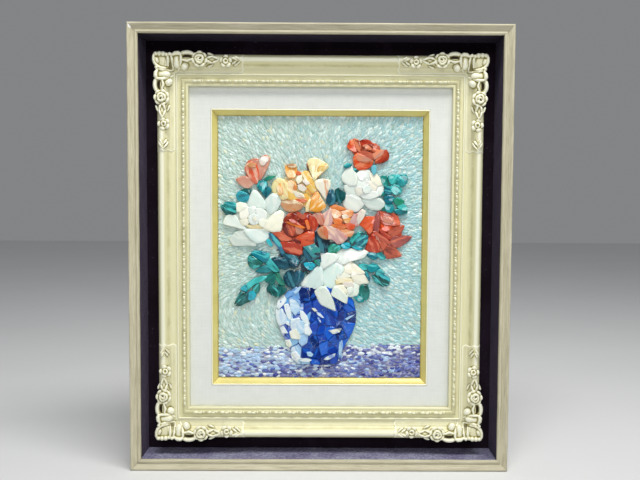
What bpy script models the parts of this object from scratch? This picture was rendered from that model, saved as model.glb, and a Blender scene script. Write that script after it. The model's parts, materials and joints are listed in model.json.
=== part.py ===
"""A gemstone picture: roses in a blue jar, laid in cut stones behind a linen mat, in a gilded frame
with cast corner ornaments, which hangs inside a deep velvet-lined outer frame.

X runs to the right, Z up, and the picture faces -Y. The wall is the plane y = 0, and a depth below
is a distance in front of that wall. The origin is the centre of the back, on the wall.
"""

import math
from collections import namedtuple

import bmesh
import bpy
import numpy as np
from mathutils import Vector

MM = 0.001

# Picture, mat and frames, from the middle outwards
SIGHT_WIDTH = 312 * MM
SIGHT_HEIGHT = 402 * MM
SLIP_WIDTH = 9.5 * MM
MAT_WIDTH = 32.5 * MM
SIDE_GAP = 21 * MM
END_GAP = 24 * MM
RAIL_FACE = 15 * MM

# Outer frame, its velvet lining and its back
RAIL_DEPTH = 68 * MM
RAIL_ROUND = 2 * MM
RAIL_SCOOP_DROP = 3 * MM
RAIL_BEAD_WIDTH = 5.2 * MM
RAIL_LIP_THICKNESS = 3.5 * MM
LIP_REVEAL = 1 * MM
REBATE_WALL = 6 * MM
BACK_THICKNESS = 4.4 * MM
GROUND_THICKNESS = 3 * MM
LINING_THICKNESS = 2.7 * MM

# Mouldings of the gilded frame, from its outer edge inwards, and their heights from its back
TORUS_WIDTH = 13.6 * MM
COVE_WIDTH = 14.4 * MM
FILLET_WIDTH = 2.4 * MM
GROOVE_WIDTH = 5 * MM
BAND_WIDTH = 7 * MM
SIGHT_LIP_WIDTH = 3.6 * MM
GILDED_SIDE_HEIGHT = 22 * MM
TORUS_RISE = 11 * MM
COVE_HEIGHT = 22 * MM
FILLET_RISE = 2.6 * MM
BAND_RISE = 3.6 * MM
SIGHT_WALL = 8 * MM
GILDED_REBATE = 8 * MM
GILDED_UNDERCUT = 2 * MM

# Cast corner ornaments
ORNAMENT_TOP_LENGTH = 132 * MM
ORNAMENT_SIDE_LENGTH = 146 * MM
ORNAMENT_SKIN = 1.5 * MM
ORNAMENT_RISE = 5 * MM
ORNAMENT_OVERHANG = 6.5 * MM

# Board, mat, slip and stones
BOARD_THICKNESS = 4 * MM
SLIP_HEIGHT = 12 * MM
SLIP_LIP = 1.6 * MM
SLIP_FOOT = 2.6 * MM
BED_THICKNESS = 2.2 * MM
BED_RELIEF = 0.8 * MM
TABLE_HEIGHT = 51 * MM
CHIP_SPACING = 27 * MM
ROSE_RISE = 9 * MM
LEAF_RISE = 4.2 * MM
JAR_RISE = 7 * MM

# Clearance between pieces that touch, and the saw cut of a mitre
FIT = 0.3 * MM

# Faces of a moulding or of a casting that meet at less than these degrees are shaded as one
SMOOTH_BELOW = 40
ORNAMENT_SMOOTH_BELOW = 35

SEED = 7
LEAF_SIDES = 6
TUBE_SIDES = 5
SCROLL_STEPS = 5
NOTCH_SHARE = 0.34
JAR_COLUMNS = 4

MAT_OPENING_WIDTH = SIGHT_WIDTH + 2 * SLIP_WIDTH
MAT_OPENING_HEIGHT = SIGHT_HEIGHT + 2 * SLIP_WIDTH
FILLET_PLACE = TORUS_WIDTH + COVE_WIDTH
BAND_PLACE = FILLET_PLACE + FILLET_WIDTH + GROOVE_WIDTH
GILDED_FACE = BAND_PLACE + BAND_WIDTH + SIGHT_LIP_WIDTH
GILDED_WIDTH = MAT_OPENING_WIDTH + 2 * (MAT_WIDTH + GILDED_FACE)
GILDED_LENGTH = MAT_OPENING_HEIGHT + 2 * (MAT_WIDTH + GILDED_FACE)
OUTER_WIDTH = GILDED_WIDTH + 2 * (SIDE_GAP + RAIL_FACE)
OUTER_HEIGHT = GILDED_LENGTH + 2 * (END_GAP + RAIL_FACE)
LINING_PLACE = RAIL_FACE - LIP_REVEAL - LINING_THICKNESS
RAIL_WALL = LINING_PLACE - FIT

# Distances from the wall, from the back panel forwards
GROUND_BACK = BACK_THICKNESS + FIT
GROUND_FRONT = GROUND_BACK + GROUND_THICKNESS
FRAME_BACK = GROUND_FRONT + FIT
BOARD_FRONT = FRAME_BACK + BOARD_THICKNESS
STONE_BACK = BOARD_FRONT + FIT
BED_FRONT = STONE_BACK + BED_THICKNESS
FIGURE_BACK = BED_FRONT + FIT
SIDE_FRONT = FRAME_BACK + GILDED_SIDE_HEIGHT
CREST = SIDE_FRONT + TORUS_RISE
COVE = FRAME_BACK + COVE_HEIGHT
SIGHT_FRONT = COVE + BAND_RISE / 2
MAT_FRONT = SIGHT_FRONT - SIGHT_WALL - FIT

# The bouquet is drawn in units from the middle of the picture, so many units across and up, and
# it stretches with the picture
DRAWING = (77.6, 100)
SHARE_ACROSS = SIGHT_WIDTH / DRAWING[0]
SHARE_UP = SIGHT_HEIGHT / DRAWING[1]

Bloom = namedtuple("Bloom", "name x z width height petals turn colour")
Leaf = namedtuple("Leaf", "x z length width angle")

BLOOMS = (
    Bloom("carnelian_rose_top", 17.7, 35.6, 15.8, 12.8, 5, 20, "carnelian"),
    Bloom("carnelian_bud", -24.9, 28.3, 12.0, 13.0, 3, 52, "coral"),
    Bloom("amber_rose", -7.6, 22.6, 21.5, 18.0, 6, 15, "amber"),
    Bloom("white_rose_right", 15.9, 21.4, 16.8, 17.4, 5, 70, "shell_white"),
    Bloom("white_rose_left", -26.0, 11.0, 22.8, 21.4, 6, 32, "shell_white"),
    Bloom("red_rose_middle", -8.8, 4.8, 17.8, 17.4, 5, 40, "red_jasper"),
    Bloom("coral_rose", 7.6, 9.6, 19.4, 15.6, 6, 0, "coral"),
    Bloom("red_rose_right", 25.0, 4.4, 19.2, 17.6, 6, 48, "red_jasper"),
    Bloom("white_rose_low", 6.8, -11.4, 25.0, 23.4, 6, 10, "shell_white"),
)

# Each spray is a few stone leaves that touch
SPRAYS = {
    "leaf_by_bud": (
        "malachite",
        (Leaf(-18.2, 23.8, 9.0, 6.6, 70), Leaf(-16.6, 27.2, 6.6, 3.4, 25)),
    ),
    "leaf_upper_left": ("malachite", (Leaf(-29.8, 21.4, 8.0, 5.6, 25),)),
    "leaf_far_left": ("malachite", (Leaf(-34.4, 15.4, 6.8, 4.8, -25),)),
    "dark_leaves_top": (
        "dark_stone",
        (Leaf(3.2, 19.6, 9.0, 4.4, 75), Leaf(6.4, 19.6, 8.6, 4.4, 105)),
    ),
    "leaves_right": (
        "malachite",
        (
            Leaf(30.0, 25.4, 11.0, 5.6, 8),
            Leaf(28.4, 21.2, 9.0, 5.0, 0),
            Leaf(29.2, 17.2, 8.6, 5.2, -40),
            Leaf(31.4, 14.2, 9.0, 5.6, -12),
        ),
    ),
    "leaves_under_carnelian": ("malachite", (Leaf(11.4, 31.4, 9.0, 4.4, -28),)),
    "leaves_middle": (
        "dark_stone",
        (Leaf(-0.2, -1.6, 9.6, 6.4, 40), Leaf(2.6, 0.4, 8.8, 5.0, 10)),
    ),
    "leaves_centre_right": (
        "malachite",
        (Leaf(15.0, 0.2, 8.6, 7.0, 20), Leaf(10.6, 0.2, 8.0, 4.4, 5)),
    ),
    "leaf_under_red": ("malachite", (Leaf(23.4, -6.6, 11.0, 5.6, -4),)),
    "leaves_lower_right": (
        "malachite",
        (Leaf(22.2, -11.2, 11.0, 5.4, -30), Leaf(24.6, -13.6, 11.6, 5.2, -34)),
    ),
    "leaf_right_of_jar": ("malachite", (Leaf(18.0, -19.2, 8.6, 6.2, 60),)),
    "leaves_lower_left": (
        "malachite",
        (
            Leaf(-22.6, -5.0, 10.6, 8.6, -20),
            Leaf(-18.6, -9.0, 11.4, 6.2, -35),
            Leaf(-25.6, -14.2, 15.0, 6.0, 42),
            Leaf(-31.2, -18.4, 11.0, 5.6, 38),
            Leaf(-15.6, -15.6, 10.8, 7.4, -62),
        ),
    ),
    "dark_leaves_left": (
        "dark_stone",
        (Leaf(-12.4, -6.6, 10.4, 6.4, 8), Leaf(-9.4, -12.4, 10.2, 6.8, 14)),
    ),
    "leaf_left_of_jar": ("malachite", (Leaf(-14.6, -1.6, 9.0, 5.0, -52),)),
    "amber_petal": ("amber", (Leaf(-1.4, 30.8, 9.2, 8.0, 80),)),
}

# The ginger jar from its mouth to its foot: height, left edge, right edge, and where its pale left
# part ends
JAR_ROWS = (
    (-14.6, -9.7, 7.5, -8.7),
    (-17.2, -13.1, 10.9, -8.1),
    (-20.4, -15.3, 13.1, -6.5),
    (-24.4, -16.2, 14.0, -4.3),
    (-28.4, -16.1, 13.9, -3.5),
    (-32.4, -14.8, 12.6, -4.7),
    (-36.4, -12.5, 10.3, -7.1),
    (-40.6, -10.6, 8.4, -6.1),
    (-44.6, -8.7, 6.5, -4.5),
)

# Colour (linear), roughness and metallic value of each finish
FINISHES = {
    "weathered_wood": ((0.33, 0.29, 0.19), 0.6, 0.0),
    "velvet": ((0.018, 0.014, 0.032), 0.95, 0.0),
    "plywood": ((0.42, 0.29, 0.17), 0.7, 0.0),
    "pale_gilding": ((0.72, 0.68, 0.44), 0.42, 0.35),
    "gilded_casting": ((0.72, 0.68, 0.44), 0.42, 0.35),
    "gold_slip": ((0.6, 0.5, 0.17), 0.3, 0.6),
    "linen": ((0.74, 0.75, 0.7), 0.9, 0.0),
    "board": ((0.5, 0.48, 0.42), 0.8, 0.0),
    "aqua_chips": ((0.5, 0.66, 0.62), 0.25, 0.0),
    "amethyst_chips": ((0.2, 0.19, 0.5), 0.25, 0.0),
    "lapis": ((0.02, 0.06, 0.36), 0.2, 0.0),
    "pale_lapis": ((0.42, 0.55, 0.78), 0.2, 0.0),
    "shell_white": ((0.68, 0.78, 0.72), 0.25, 0.0),
    "red_jasper": ((0.42, 0.07, 0.04), 0.2, 0.0),
    "carnelian": ((0.55, 0.1, 0.04), 0.18, 0.0),
    "coral": ((0.72, 0.25, 0.12), 0.2, 0.0),
    "amber": ((0.75, 0.42, 0.13), 0.18, 0.0),
    "malachite": ((0.01, 0.24, 0.2), 0.2, 0.0),
    "dark_stone": ((0.012, 0.05, 0.07), 0.2, 0.0),
}


def finish(name):
    """The Principled material of that name, made the first time that it is asked for."""
    material = bpy.data.materials.get(name)
    if material:
        return material
    colour, roughness, metallic = FINISHES[name]
    material = bpy.data.materials.new(name)
    material.use_nodes = True
    shader = material.node_tree.nodes["Principled BSDF"]
    shader.inputs["Base Color"].default_value = (*colour, 1)
    shader.inputs["Roughness"].default_value = roughness
    shader.inputs["Metallic"].default_value = metallic
    material.diffuse_color = (*colour, 1)
    return material


def to_object(bm, name, material=None, smooth_below=None):
    """Turns a closed bmesh into an object with outward faces."""
    bmesh.ops.recalc_face_normals(bm, faces=bm.faces)
    if bm.calc_volume(signed=True) < 0:
        bmesh.ops.reverse_faces(bm, faces=bm.faces)
    mesh = bpy.data.meshes.new(name)
    bm.to_mesh(mesh)
    bm.free()
    if material:
        mesh.materials.append(finish(material))
    if smooth_below:
        mesh.shade_smooth()
        mesh.set_sharp_from_angle(angle=math.radians(smooth_below))
    item = bpy.data.objects.new(name, mesh)
    bpy.context.scene.collection.objects.link(item)
    return item


def combine(target, operation, others):
    """Applies one exact Boolean of all the other objects to the target, and removes them."""
    group = bpy.data.collections.new("operands")
    bpy.context.scene.collection.children.link(group)
    for other in others:
        group.objects.link(other)
    step = target.modifiers.new("combine", "BOOLEAN")
    step.operation = operation
    step.solver = "EXACT"
    step.operand_type = "COLLECTION"
    step.collection = group
    graph = bpy.context.evaluated_depsgraph_get()
    result = bpy.data.meshes.new_from_object(target.evaluated_get(graph))
    target.modifiers.remove(step)
    target.data = result
    for other in others:
        bpy.data.objects.remove(other)
    bpy.data.collections.remove(group)


def arc(centre_u, centre_d, radius_u, radius_d, start, end, steps):
    """Points along an elliptical arc of a profile, ends included, with its angles in degrees."""
    angles = np.radians(np.linspace(start, end, steps + 1))
    return [(centre_u + radius_u * math.cos(a), centre_d + radius_d * math.sin(a)) for a in angles]


def offset_line(points, distance, closed):
    """Moves a line of points sideways, to its left where the distance is above zero."""
    points = [Vector(point) for point in points]
    count = len(points)
    moved = []
    for index, point in enumerate(points):
        before = points[index - 1] if closed or index else None
        after = points[(index + 1) % count] if closed or index < count - 1 else None
        ways = []
        if before is not None:
            ways.append((point - before).normalized())
        if after is not None:
            ways.append((after - point).normalized())
        normals = [Vector((-way.y, way.x)) for way in ways]
        middle = sum(normals, Vector((0, 0))).normalized()
        stretch = 1 / max(middle.dot(normals[0]), 0.4)
        moved.append(tuple(point + middle * distance * stretch))
    return moved


def swept_ring(name, width, height, profile, material=None):
    """Runs a profile round a rectangle. Its points are (inwards from the outer edge, depth)."""
    corners = ((-1, 1), (1, 1), (1, -1), (-1, -1))
    bm = bmesh.new()
    loops = []
    for inwards, depth in profile:
        x, z = width / 2 - inwards, height / 2 - inwards
        loops.append([bm.verts.new((right * x, -depth, up * z)) for right, up in corners])
    for loop, following in zip(loops, loops[1:] + loops[:1]):
        for k in range(4):
            m = (k + 1) % 4
            bm.faces.new((loop[k], loop[m], following[m], following[k]))
    return to_object(bm, name, material, SMOOTH_BELOW)


def mitred_side(name, side, width, height, profile, material):
    """One length of a moulding round a rectangle, its ends sawn at 45 degrees with a fine gap."""
    saw = FIT / math.sqrt(2)
    bm = bmesh.new()
    ends = ([], [])
    for inwards, depth in profile:
        x, z = width / 2 - inwards, height / 2 - inwards
        for end, way in zip(ends, (-1, 1)):
            if side in ("top", "bottom"):
                up = 1 if side == "top" else -1
                end.append(bm.verts.new((way * (x - saw), -depth, up * z)))
            else:
                right = 1 if side == "right" else -1
                end.append(bm.verts.new((right * x, -depth, way * (z - saw))))
    count = len(profile)
    for k in range(count):
        m = (k + 1) % count
        bm.faces.new((ends[0][k], ends[0][m], ends[1][m], ends[1][k]))
    for end in ends:
        bm.faces.new(end)
    return to_object(bm, name, material, SMOOTH_BELOW)


def board(name, width, height, back, front, material):
    """A flat board, centred on the picture."""
    bm = bmesh.new()
    bmesh.ops.create_cube(bm, size=1)
    bmesh.ops.scale(bm, vec=(width, front - back, height), verts=bm.verts)
    bmesh.ops.translate(bm, vec=(0, -(front + back) / 2, 0), verts=bm.verts)
    return to_object(bm, name, material)


def prism(outline, back, front):
    """An upright prism on an outline of (x, z) points, to cut with."""
    bm = bmesh.new()
    low = [bm.verts.new((x, -back, z)) for x, z in outline]
    high = [bm.verts.new((x, -front, z)) for x, z in outline]
    for k in range(len(outline)):
        m = (k + 1) % len(outline)
        bm.faces.new((low[k], low[m], high[m], high[k]))
    bm.faces.new(low)
    bm.faces.new(high)
    return to_object(bm, "cutter")


def relief_patch(name, grid, back, material):
    """A closed slab: its front follows rows of (x, z, depth) points, and its back is flat."""
    bm = bmesh.new()
    front = [[bm.verts.new((x, -depth, z)) for x, z, depth in row] for row in grid]
    for row, following in zip(front, front[1:]):
        for k in range(len(row) - 1):
            bm.faces.new((row[k], row[k + 1], following[k + 1], following[k]))
    rim = front[0] + [row[-1] for row in front[1:-1]] + front[-1][::-1]
    rim += [row[0] for row in front[-2:0:-1]]
    low = [bm.verts.new((vert.co.x, -back, vert.co.z)) for vert in rim]
    for k in range(len(rim)):
        m = (k + 1) % len(rim)
        bm.faces.new((rim[k], rim[m], low[m], low[k]))
    bm.faces.new(low)
    return to_object(bm, name, material)


def stacked_rings(name, rings, tip, material=None):
    """A closed solid on rings of points, from its flat back ring to one point in front."""
    bm = bmesh.new()
    loops = [[bm.verts.new(point) for point in ring] for ring in rings]
    top = bm.verts.new(tip)
    for loop, following in zip(loops, loops[1:]):
        for k in range(len(loop)):
            m = (k + 1) % len(loop)
            bm.faces.new((loop[k], loop[m], following[m], following[k]))
    for k in range(len(loops[-1])):
        bm.faces.new((loops[-1][k], loops[-1][(k + 1) % len(loops[-1])], top))
    bm.faces.new(loops[0])
    return to_object(bm, name, material)


def outer_rail_profile():
    """Face of the outer frame: a rounded edge, a shallow scoop falling inwards, and a bead."""
    bead_start = RAIL_FACE - RAIL_BEAD_WIDTH
    scoop_width = bead_start - 2 * RAIL_ROUND
    bead = RAIL_BEAD_WIDTH / 2
    bead_middle = RAIL_DEPTH - RAIL_SCOOP_DROP - bead / 2
    lip_back = bead_middle - RAIL_LIP_THICKNESS
    profile = [(0, 0)]
    profile += arc(RAIL_ROUND, RAIL_DEPTH - RAIL_ROUND, RAIL_ROUND, RAIL_ROUND, 180, 90, 3)
    profile += arc(bead_start, RAIL_DEPTH, scoop_width, RAIL_SCOOP_DROP, 180, 270, 3)
    profile += arc(RAIL_FACE - bead, bead_middle, bead, bead, 160, 0, 5)
    profile += [(RAIL_FACE, lip_back), (RAIL_WALL, lip_back)]
    profile += [(RAIL_WALL, FRAME_BACK), (REBATE_WALL, FRAME_BACK), (REBATE_WALL, 0)]
    return profile, lip_back


def outer_frame():
    """Four weathered rails, mitred, with the velvet lining and the two boards in their rebate."""
    profile, lip_back = outer_rail_profile()
    lining = [
        (LINING_PLACE, FRAME_BACK),
        (LINING_PLACE, lip_back - FIT),
        (LINING_PLACE + LINING_THICKNESS, lip_back - FIT),
        (LINING_PLACE + LINING_THICKNESS, FRAME_BACK),
    ]
    for side in ("top", "bottom", "left", "right"):
        mitred_side(f"outer_rail_{side}", side, OUTER_WIDTH, OUTER_HEIGHT, profile, "weathered_wood")
        mitred_side(f"velvet_side_{side}", side, OUTER_WIDTH, OUTER_HEIGHT, lining, "velvet")
    inside_width = OUTER_WIDTH - 2 * (REBATE_WALL + FIT)
    inside_height = OUTER_HEIGHT - 2 * (REBATE_WALL + FIT)
    board("velvet_ground", inside_width, inside_height, GROUND_BACK, GROUND_FRONT, "velvet")
    board("back_panel", inside_width, inside_height, 0, BACK_THICKNESS, "plywood")


def gilded_front():
    """Front of the gilded moulding: torus, inner flank and cove, fillet, groove, band and lip."""
    torus = TORUS_WIDTH * 0.58
    points = arc(torus, SIDE_FRONT, torus, TORUS_RISE, 180, 48, 6)
    points += [(TORUS_WIDTH + COVE_WIDTH * 0.17, COVE + TORUS_RISE * 0.34)]
    dip = TORUS_RISE * 0.16
    points += arc(FILLET_PLACE, COVE + dip, COVE_WIDTH * 0.57, dip, 180, 270, 3)
    half = FILLET_WIDTH / 2
    points += arc(FILLET_PLACE + half, COVE + FILLET_RISE - half, half, half, 180, 0, 3)
    half = BAND_WIDTH / 2
    points += [(FILLET_PLACE + FILLET_WIDTH, COVE), (BAND_PLACE, COVE)]
    points += arc(BAND_PLACE + half, COVE, half, BAND_RISE, 160, 20, 5)
    points += [(BAND_PLACE + BAND_WIDTH, SIGHT_FRONT), (GILDED_FACE, SIGHT_FRONT)]
    return points


def gilded_profile():
    """The whole section of the gilded moulding, with the rebate that holds the mat and the board."""
    rebate = GILDED_FACE - GILDED_REBATE
    wall_back = SIGHT_FRONT - SIGHT_WALL
    inner = [(GILDED_FACE, wall_back), (rebate, wall_back), (rebate, FRAME_BACK)]
    return [(GILDED_UNDERCUT, FRAME_BACK)] + gilded_front() + inner


def gilded_surface(inwards):
    """Depth of the gilded moulding's front at a distance inwards from its outer edge."""
    front = gilded_front()
    return float(np.interp(inwards, [u for u, _ in front], [d for _, d in front]))


class Leg:
    """One arm of a top left ornament: s runs along the frame from the corner, t inwards across it."""

    def __init__(self, length, along_top):
        self.length = length
        self.along_top = along_top

    def point(self, s, t, depth):
        across, down = (s, t) if self.along_top else (t, s)
        return (-GILDED_WIDTH / 2 + across, -depth, GILDED_LENGTH / 2 - down)

    def rosette(self, s, t, radius, lobes, back, front):
        """A flower: a scalloped rim, a hollow ring and a raised heart."""
        count = 2 * lobes
        rise = ORNAMENT_RISE
        rings = []
        levels = ((0.94, back), (1, front - 0.6 * rise), (0.74, front), (0.4, front - 0.5 * rise))
        for share, depth in levels:
            ring = []
            for k in range(count):
                scallop = 0.84 if k % 2 and share > 0.5 else 1
                reach = radius * share * scallop
                angle = 2 * math.pi * k / count
                ring.append(self.point(s + reach * math.cos(angle), t + reach * math.sin(angle), depth))
            rings.append(ring)
        return stacked_rings("rosette", rings, self.point(s, t, front))

    def leaf(self, s, t, length, width, angle, lift):
        """A plump pointed leaf with a ridge, standing above the moulding by its lift."""
        turn = math.radians(angle)
        front = gilded_surface(t) + ORNAMENT_SKIN + lift
        back = SIDE_FRONT - ORNAMENT_SKIN
        rings = []
        for depth in (back, front - 0.55 * lift):
            ring = []
            for k in range(LEAF_SIDES):
                around = 2 * math.pi * k / LEAF_SIDES
                along = length / 2 * math.cos(around)
                side = width / 2 * math.sin(around)
                across = s + along * math.cos(turn) - side * math.sin(turn)
                down = t + along * math.sin(turn) + side * math.cos(turn)
                ring.append(self.point(across, down, depth))
            rings.append(ring)
        return stacked_rings("leaf", rings, self.point(s, t, front))

    def scroll(self, s, t, radius_s, radius_t, thickness, depth):
        """A bar curled in a half ring, which stands out past the frame's edge with a gap inside it."""
        bm = bmesh.new()
        loops = []
        for angle in np.linspace(math.pi, 2 * math.pi, SCROLL_STEPS + 1):
            out = Vector((math.cos(angle) / radius_s, math.sin(angle) / radius_t)).normalized()
            middle = Vector((s + radius_s * math.cos(angle), t + radius_t * math.sin(angle)))
            loop = []
            for k in range(TUBE_SIDES):
                around = 2 * math.pi * k / TUBE_SIDES
                place = middle + out * thickness * math.cos(around)
                rise = 2 * thickness * math.sin(around)
                loop.append(bm.verts.new(self.point(place.x, place.y, depth + rise)))
            loops.append(loop)
        for loop, following in zip(loops, loops[1:]):
            for k in range(TUBE_SIDES):
                m = (k + 1) % TUBE_SIDES
                bm.faces.new((loop[k], loop[m], following[m], following[k]))
        bm.faces.new(loops[0])
        bm.faces.new(loops[-1])
        return to_object(bm, "scroll")

    def flowers_and_leaves(self):
        """What this arm carries, from the corner outwards, as shares of its length."""
        length = self.length
        torus = TORUS_WIDTH
        rise = ORNAMENT_RISE
        edge = SIDE_FRONT
        top = CREST + rise
        bar = ORNAMENT_OVERHANG * 0.4
        scroll_reach = ORNAMENT_OVERHANG - bar
        return [
            self.leaf(0.22 * length, torus * 0.4, 0.15 * length, torus * 0.9, 100, rise * 0.8),
            self.leaf(0.3 * length, torus * 1.15, 0.11 * length, torus * 0.75, 35, rise * 0.9),
            self.scroll(0.345 * length, 0, 0.07 * length, scroll_reach, bar, edge + bar),
            self.rosette(0.47 * length, torus * 0.48, 0.088 * length, 6, edge - bar, top),
            self.leaf(0.6 * length, torus * 0.4, 0.12 * length, torus * 0.4, 14, rise * 0.5),
            self.leaf(0.61 * length, torus * 1.1, 0.12 * length, torus * 0.4, -22, rise * 0.5),
            self.rosette(0.755 * length, torus * 0.76, 0.068 * length, 5, edge, top - bar),
            self.leaf(0.87 * length, torus * 0.42, 0.11 * length, torus * 0.4, -16, rise * 0.5),
            self.leaf(0.87 * length, torus * 1.15, 0.11 * length, torus * 0.4, 24, rise * 0.5),
        ]


def ornament_skin(top_leg, side_leg):
    """The thin cast panel that carries the flowers, laid over the torus and cove round the corner."""
    inner_edge = FILLET_PLACE - 3 * FIT
    places = [TORUS_WIDTH * share for share in (0.12, 0.55, 1.0, 1.45)] + [inner_edge]
    line = [(0, FRAME_BACK + GILDED_SIDE_HEIGHT * 0.7), (0, SIDE_FRONT)]
    line += [(place, gilded_surface(place)) for place in places]
    profile = offset_line(line, ORNAMENT_SKIN, False) + offset_line(line, -ORNAMENT_SKIN, False)[::-1]
    slant = FILLET_PLACE / 3
    bm = bmesh.new()
    loops = []
    for inwards, depth in profile:
        share = inwards / FILLET_PLACE
        ends = (
            top_leg.point(top_leg.length - slant * share, inwards, depth),
            top_leg.point(inwards, inwards, depth),
            side_leg.point(side_leg.length - slant * share, inwards, depth),
        )
        loops.append([bm.verts.new(point) for point in ends])
    for loop, following in zip(loops, loops[1:] + loops[:1]):
        for k in range(2):
            bm.faces.new((loop[k], loop[k + 1], following[k + 1], following[k]))
    bm.faces.new([loop[0] for loop in loops])
    bm.faces.new([loop[2] for loop in loops])
    return to_object(bm, "skin")


def mirror_to_corner(item, name, flip_x, flip_z):
    """Puts a copy of the top left ornament at the corner that the flips lead to."""
    bm = bmesh.new()
    bm.from_mesh(item.data)
    for vert in bm.verts:
        vert.co.x *= flip_x
        vert.co.z *= flip_z
    to_object(bm, name, "gilded_casting", ORNAMENT_SMOOTH_BELOW)


def gilded_frame():
    """The gilded moulding, and the four cast ornaments that cap its corners."""
    profile = gilded_profile()
    swept_ring("gilded_frame", GILDED_WIDTH, GILDED_LENGTH, profile, "pale_gilding")
    top_leg = Leg(ORNAMENT_TOP_LENGTH, True)
    side_leg = Leg(ORNAMENT_SIDE_LENGTH, False)
    boss_place = TORUS_WIDTH - ORNAMENT_OVERHANG
    valley = 1.4 * TORUS_WIDTH
    boss_back = SIDE_FRONT - ORNAMENT_SKIN
    boss_front = CREST + ORNAMENT_RISE
    parts = [
        top_leg.rosette(boss_place, boss_place, TORUS_WIDTH, 7, boss_back, boss_front),
        top_leg.leaf(valley, valley, 1.7 * TORUS_WIDTH, TORUS_WIDTH, 45, ORNAMENT_RISE),
    ]
    parts += top_leg.flowers_and_leaves() + side_leg.flowers_and_leaves()
    ornament = ornament_skin(top_leg, side_leg)
    combine(ornament, "UNION", parts)
    seat = swept_ring("seat", GILDED_WIDTH, GILDED_LENGTH, offset_line(profile, FIT, True))
    combine(ornament, "DIFFERENCE", [seat])
    for name, flip_x, flip_z in (
        ("corner_ornament_top_left", 1, 1),
        ("corner_ornament_top_right", -1, 1),
        ("corner_ornament_bottom_left", 1, -1),
        ("corner_ornament_bottom_right", -1, -1),
    ):
        mirror_to_corner(ornament, name, flip_x, flip_z)
    bpy.data.objects.remove(ornament)


def mat_and_slip():
    """The linen-covered mat, the four bevelled gold slips inside it, and the board behind them."""
    mat_edge = MAT_WIDTH + GILDED_REBATE - FIT
    width = MAT_OPENING_WIDTH + 2 * mat_edge
    height = MAT_OPENING_HEIGHT + 2 * mat_edge
    inner = mat_edge - FIT
    section = [(0, STONE_BACK), (0, MAT_FRONT), (inner, MAT_FRONT), (inner, STONE_BACK)]
    swept_ring("linen_mat", width, height, section, "linen")
    board("picture_board", width, height, FRAME_BACK, BOARD_FRONT, "board")
    front = STONE_BACK + SLIP_HEIGHT
    foot = STONE_BACK + SLIP_FOOT
    bend = (SLIP_LIP + (SLIP_WIDTH - SLIP_LIP) * 0.4, foot + (front - foot) * 0.52)
    slip = [(0, STONE_BACK), (0, front - FIT), (FIT, front), (SLIP_LIP, front)]
    slip += [bend, (SLIP_WIDTH, foot), (SLIP_WIDTH, STONE_BACK)]
    for side in ("top", "bottom", "left", "right"):
        mitred_side(f"gold_slip_{side}", side, MAT_OPENING_WIDTH, MAT_OPENING_HEIGHT, slip, "gold_slip")


def stone_bed(name, low, high, row_spacing, material, seed):
    """A bed of crushed stone between two heights of the picture, as a slab with a broken face."""
    random = np.random.default_rng(seed)
    half = SIGHT_WIDTH / 2 - FIT
    columns = max(2, round(2 * half / CHIP_SPACING))
    rows = max(2, round((high - low) / row_spacing))
    grid = []
    for r in range(rows + 1):
        row = []
        for c in range(columns + 1):
            inside = 0 < r < rows and 0 < c < columns
            shift = (random.random(2) - 0.5) * 0.5 if inside else (0, 0)
            x = -half + 2 * half * (c + shift[0]) / columns
            z = low + (high - low) * (r + shift[1]) / rows
            row.append((x, z, BED_FRONT - BED_RELIEF * random.random()))
        grid.append(row)
    return relief_patch(name, grid, STONE_BACK, material)


def place(x, z):
    """A point of the drawing as a point of the picture."""
    return Vector((x * SHARE_ACROSS, z * SHARE_UP))


def rim_radius(bloom, angle, notch=0.0):
    """Distance in the drawing from a bloom's middle to its rim: an ellipse notched between petals."""
    ellipse = 0.5 / math.hypot(math.cos(angle) / bloom.width, math.sin(angle) / bloom.height)
    petal = abs(math.cos(bloom.petals * (angle - math.radians(bloom.turn)) / 2))
    return ellipse * (1 - notch * (1 - petal))


def neighbour_limit(bloom, angle):
    """Distance in the drawing from a bloom's middle to the line where it meets the next bloom."""
    limit = math.inf
    for other in BLOOMS:
        if other is bloom:
            continue
        across, up = other.x - bloom.x, other.z - bloom.z
        apart = math.hypot(across, up)
        heading = math.atan2(up, across)
        own, its = rim_radius(bloom, heading), rim_radius(other, heading)
        border = (apart**2 + own**2 - its**2) / (2 * apart) - FIT / SHARE_ACROSS
        facing = math.cos(angle - heading)
        if facing > 0:
            limit = min(limit, border / facing)
    return limit


def bloom_outline(bloom, grow=0.0):
    """Outline of a bloom's outer petals: each has two corners, and a notch parts it from the next."""
    steps = 3 if bloom.petals > 4 else 4
    count = steps * bloom.petals
    points = []
    for k in range(count):
        angle = math.radians(bloom.turn) + 2 * math.pi * (k + steps / 2) / count
        reach = min(rim_radius(bloom, angle, NOTCH_SHARE), neighbour_limit(bloom, angle))
        points.append(place(bloom.x + reach * math.cos(angle), bloom.z + reach * math.sin(angle)))
    return offset_line(points, -grow, True) if grow else points


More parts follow.
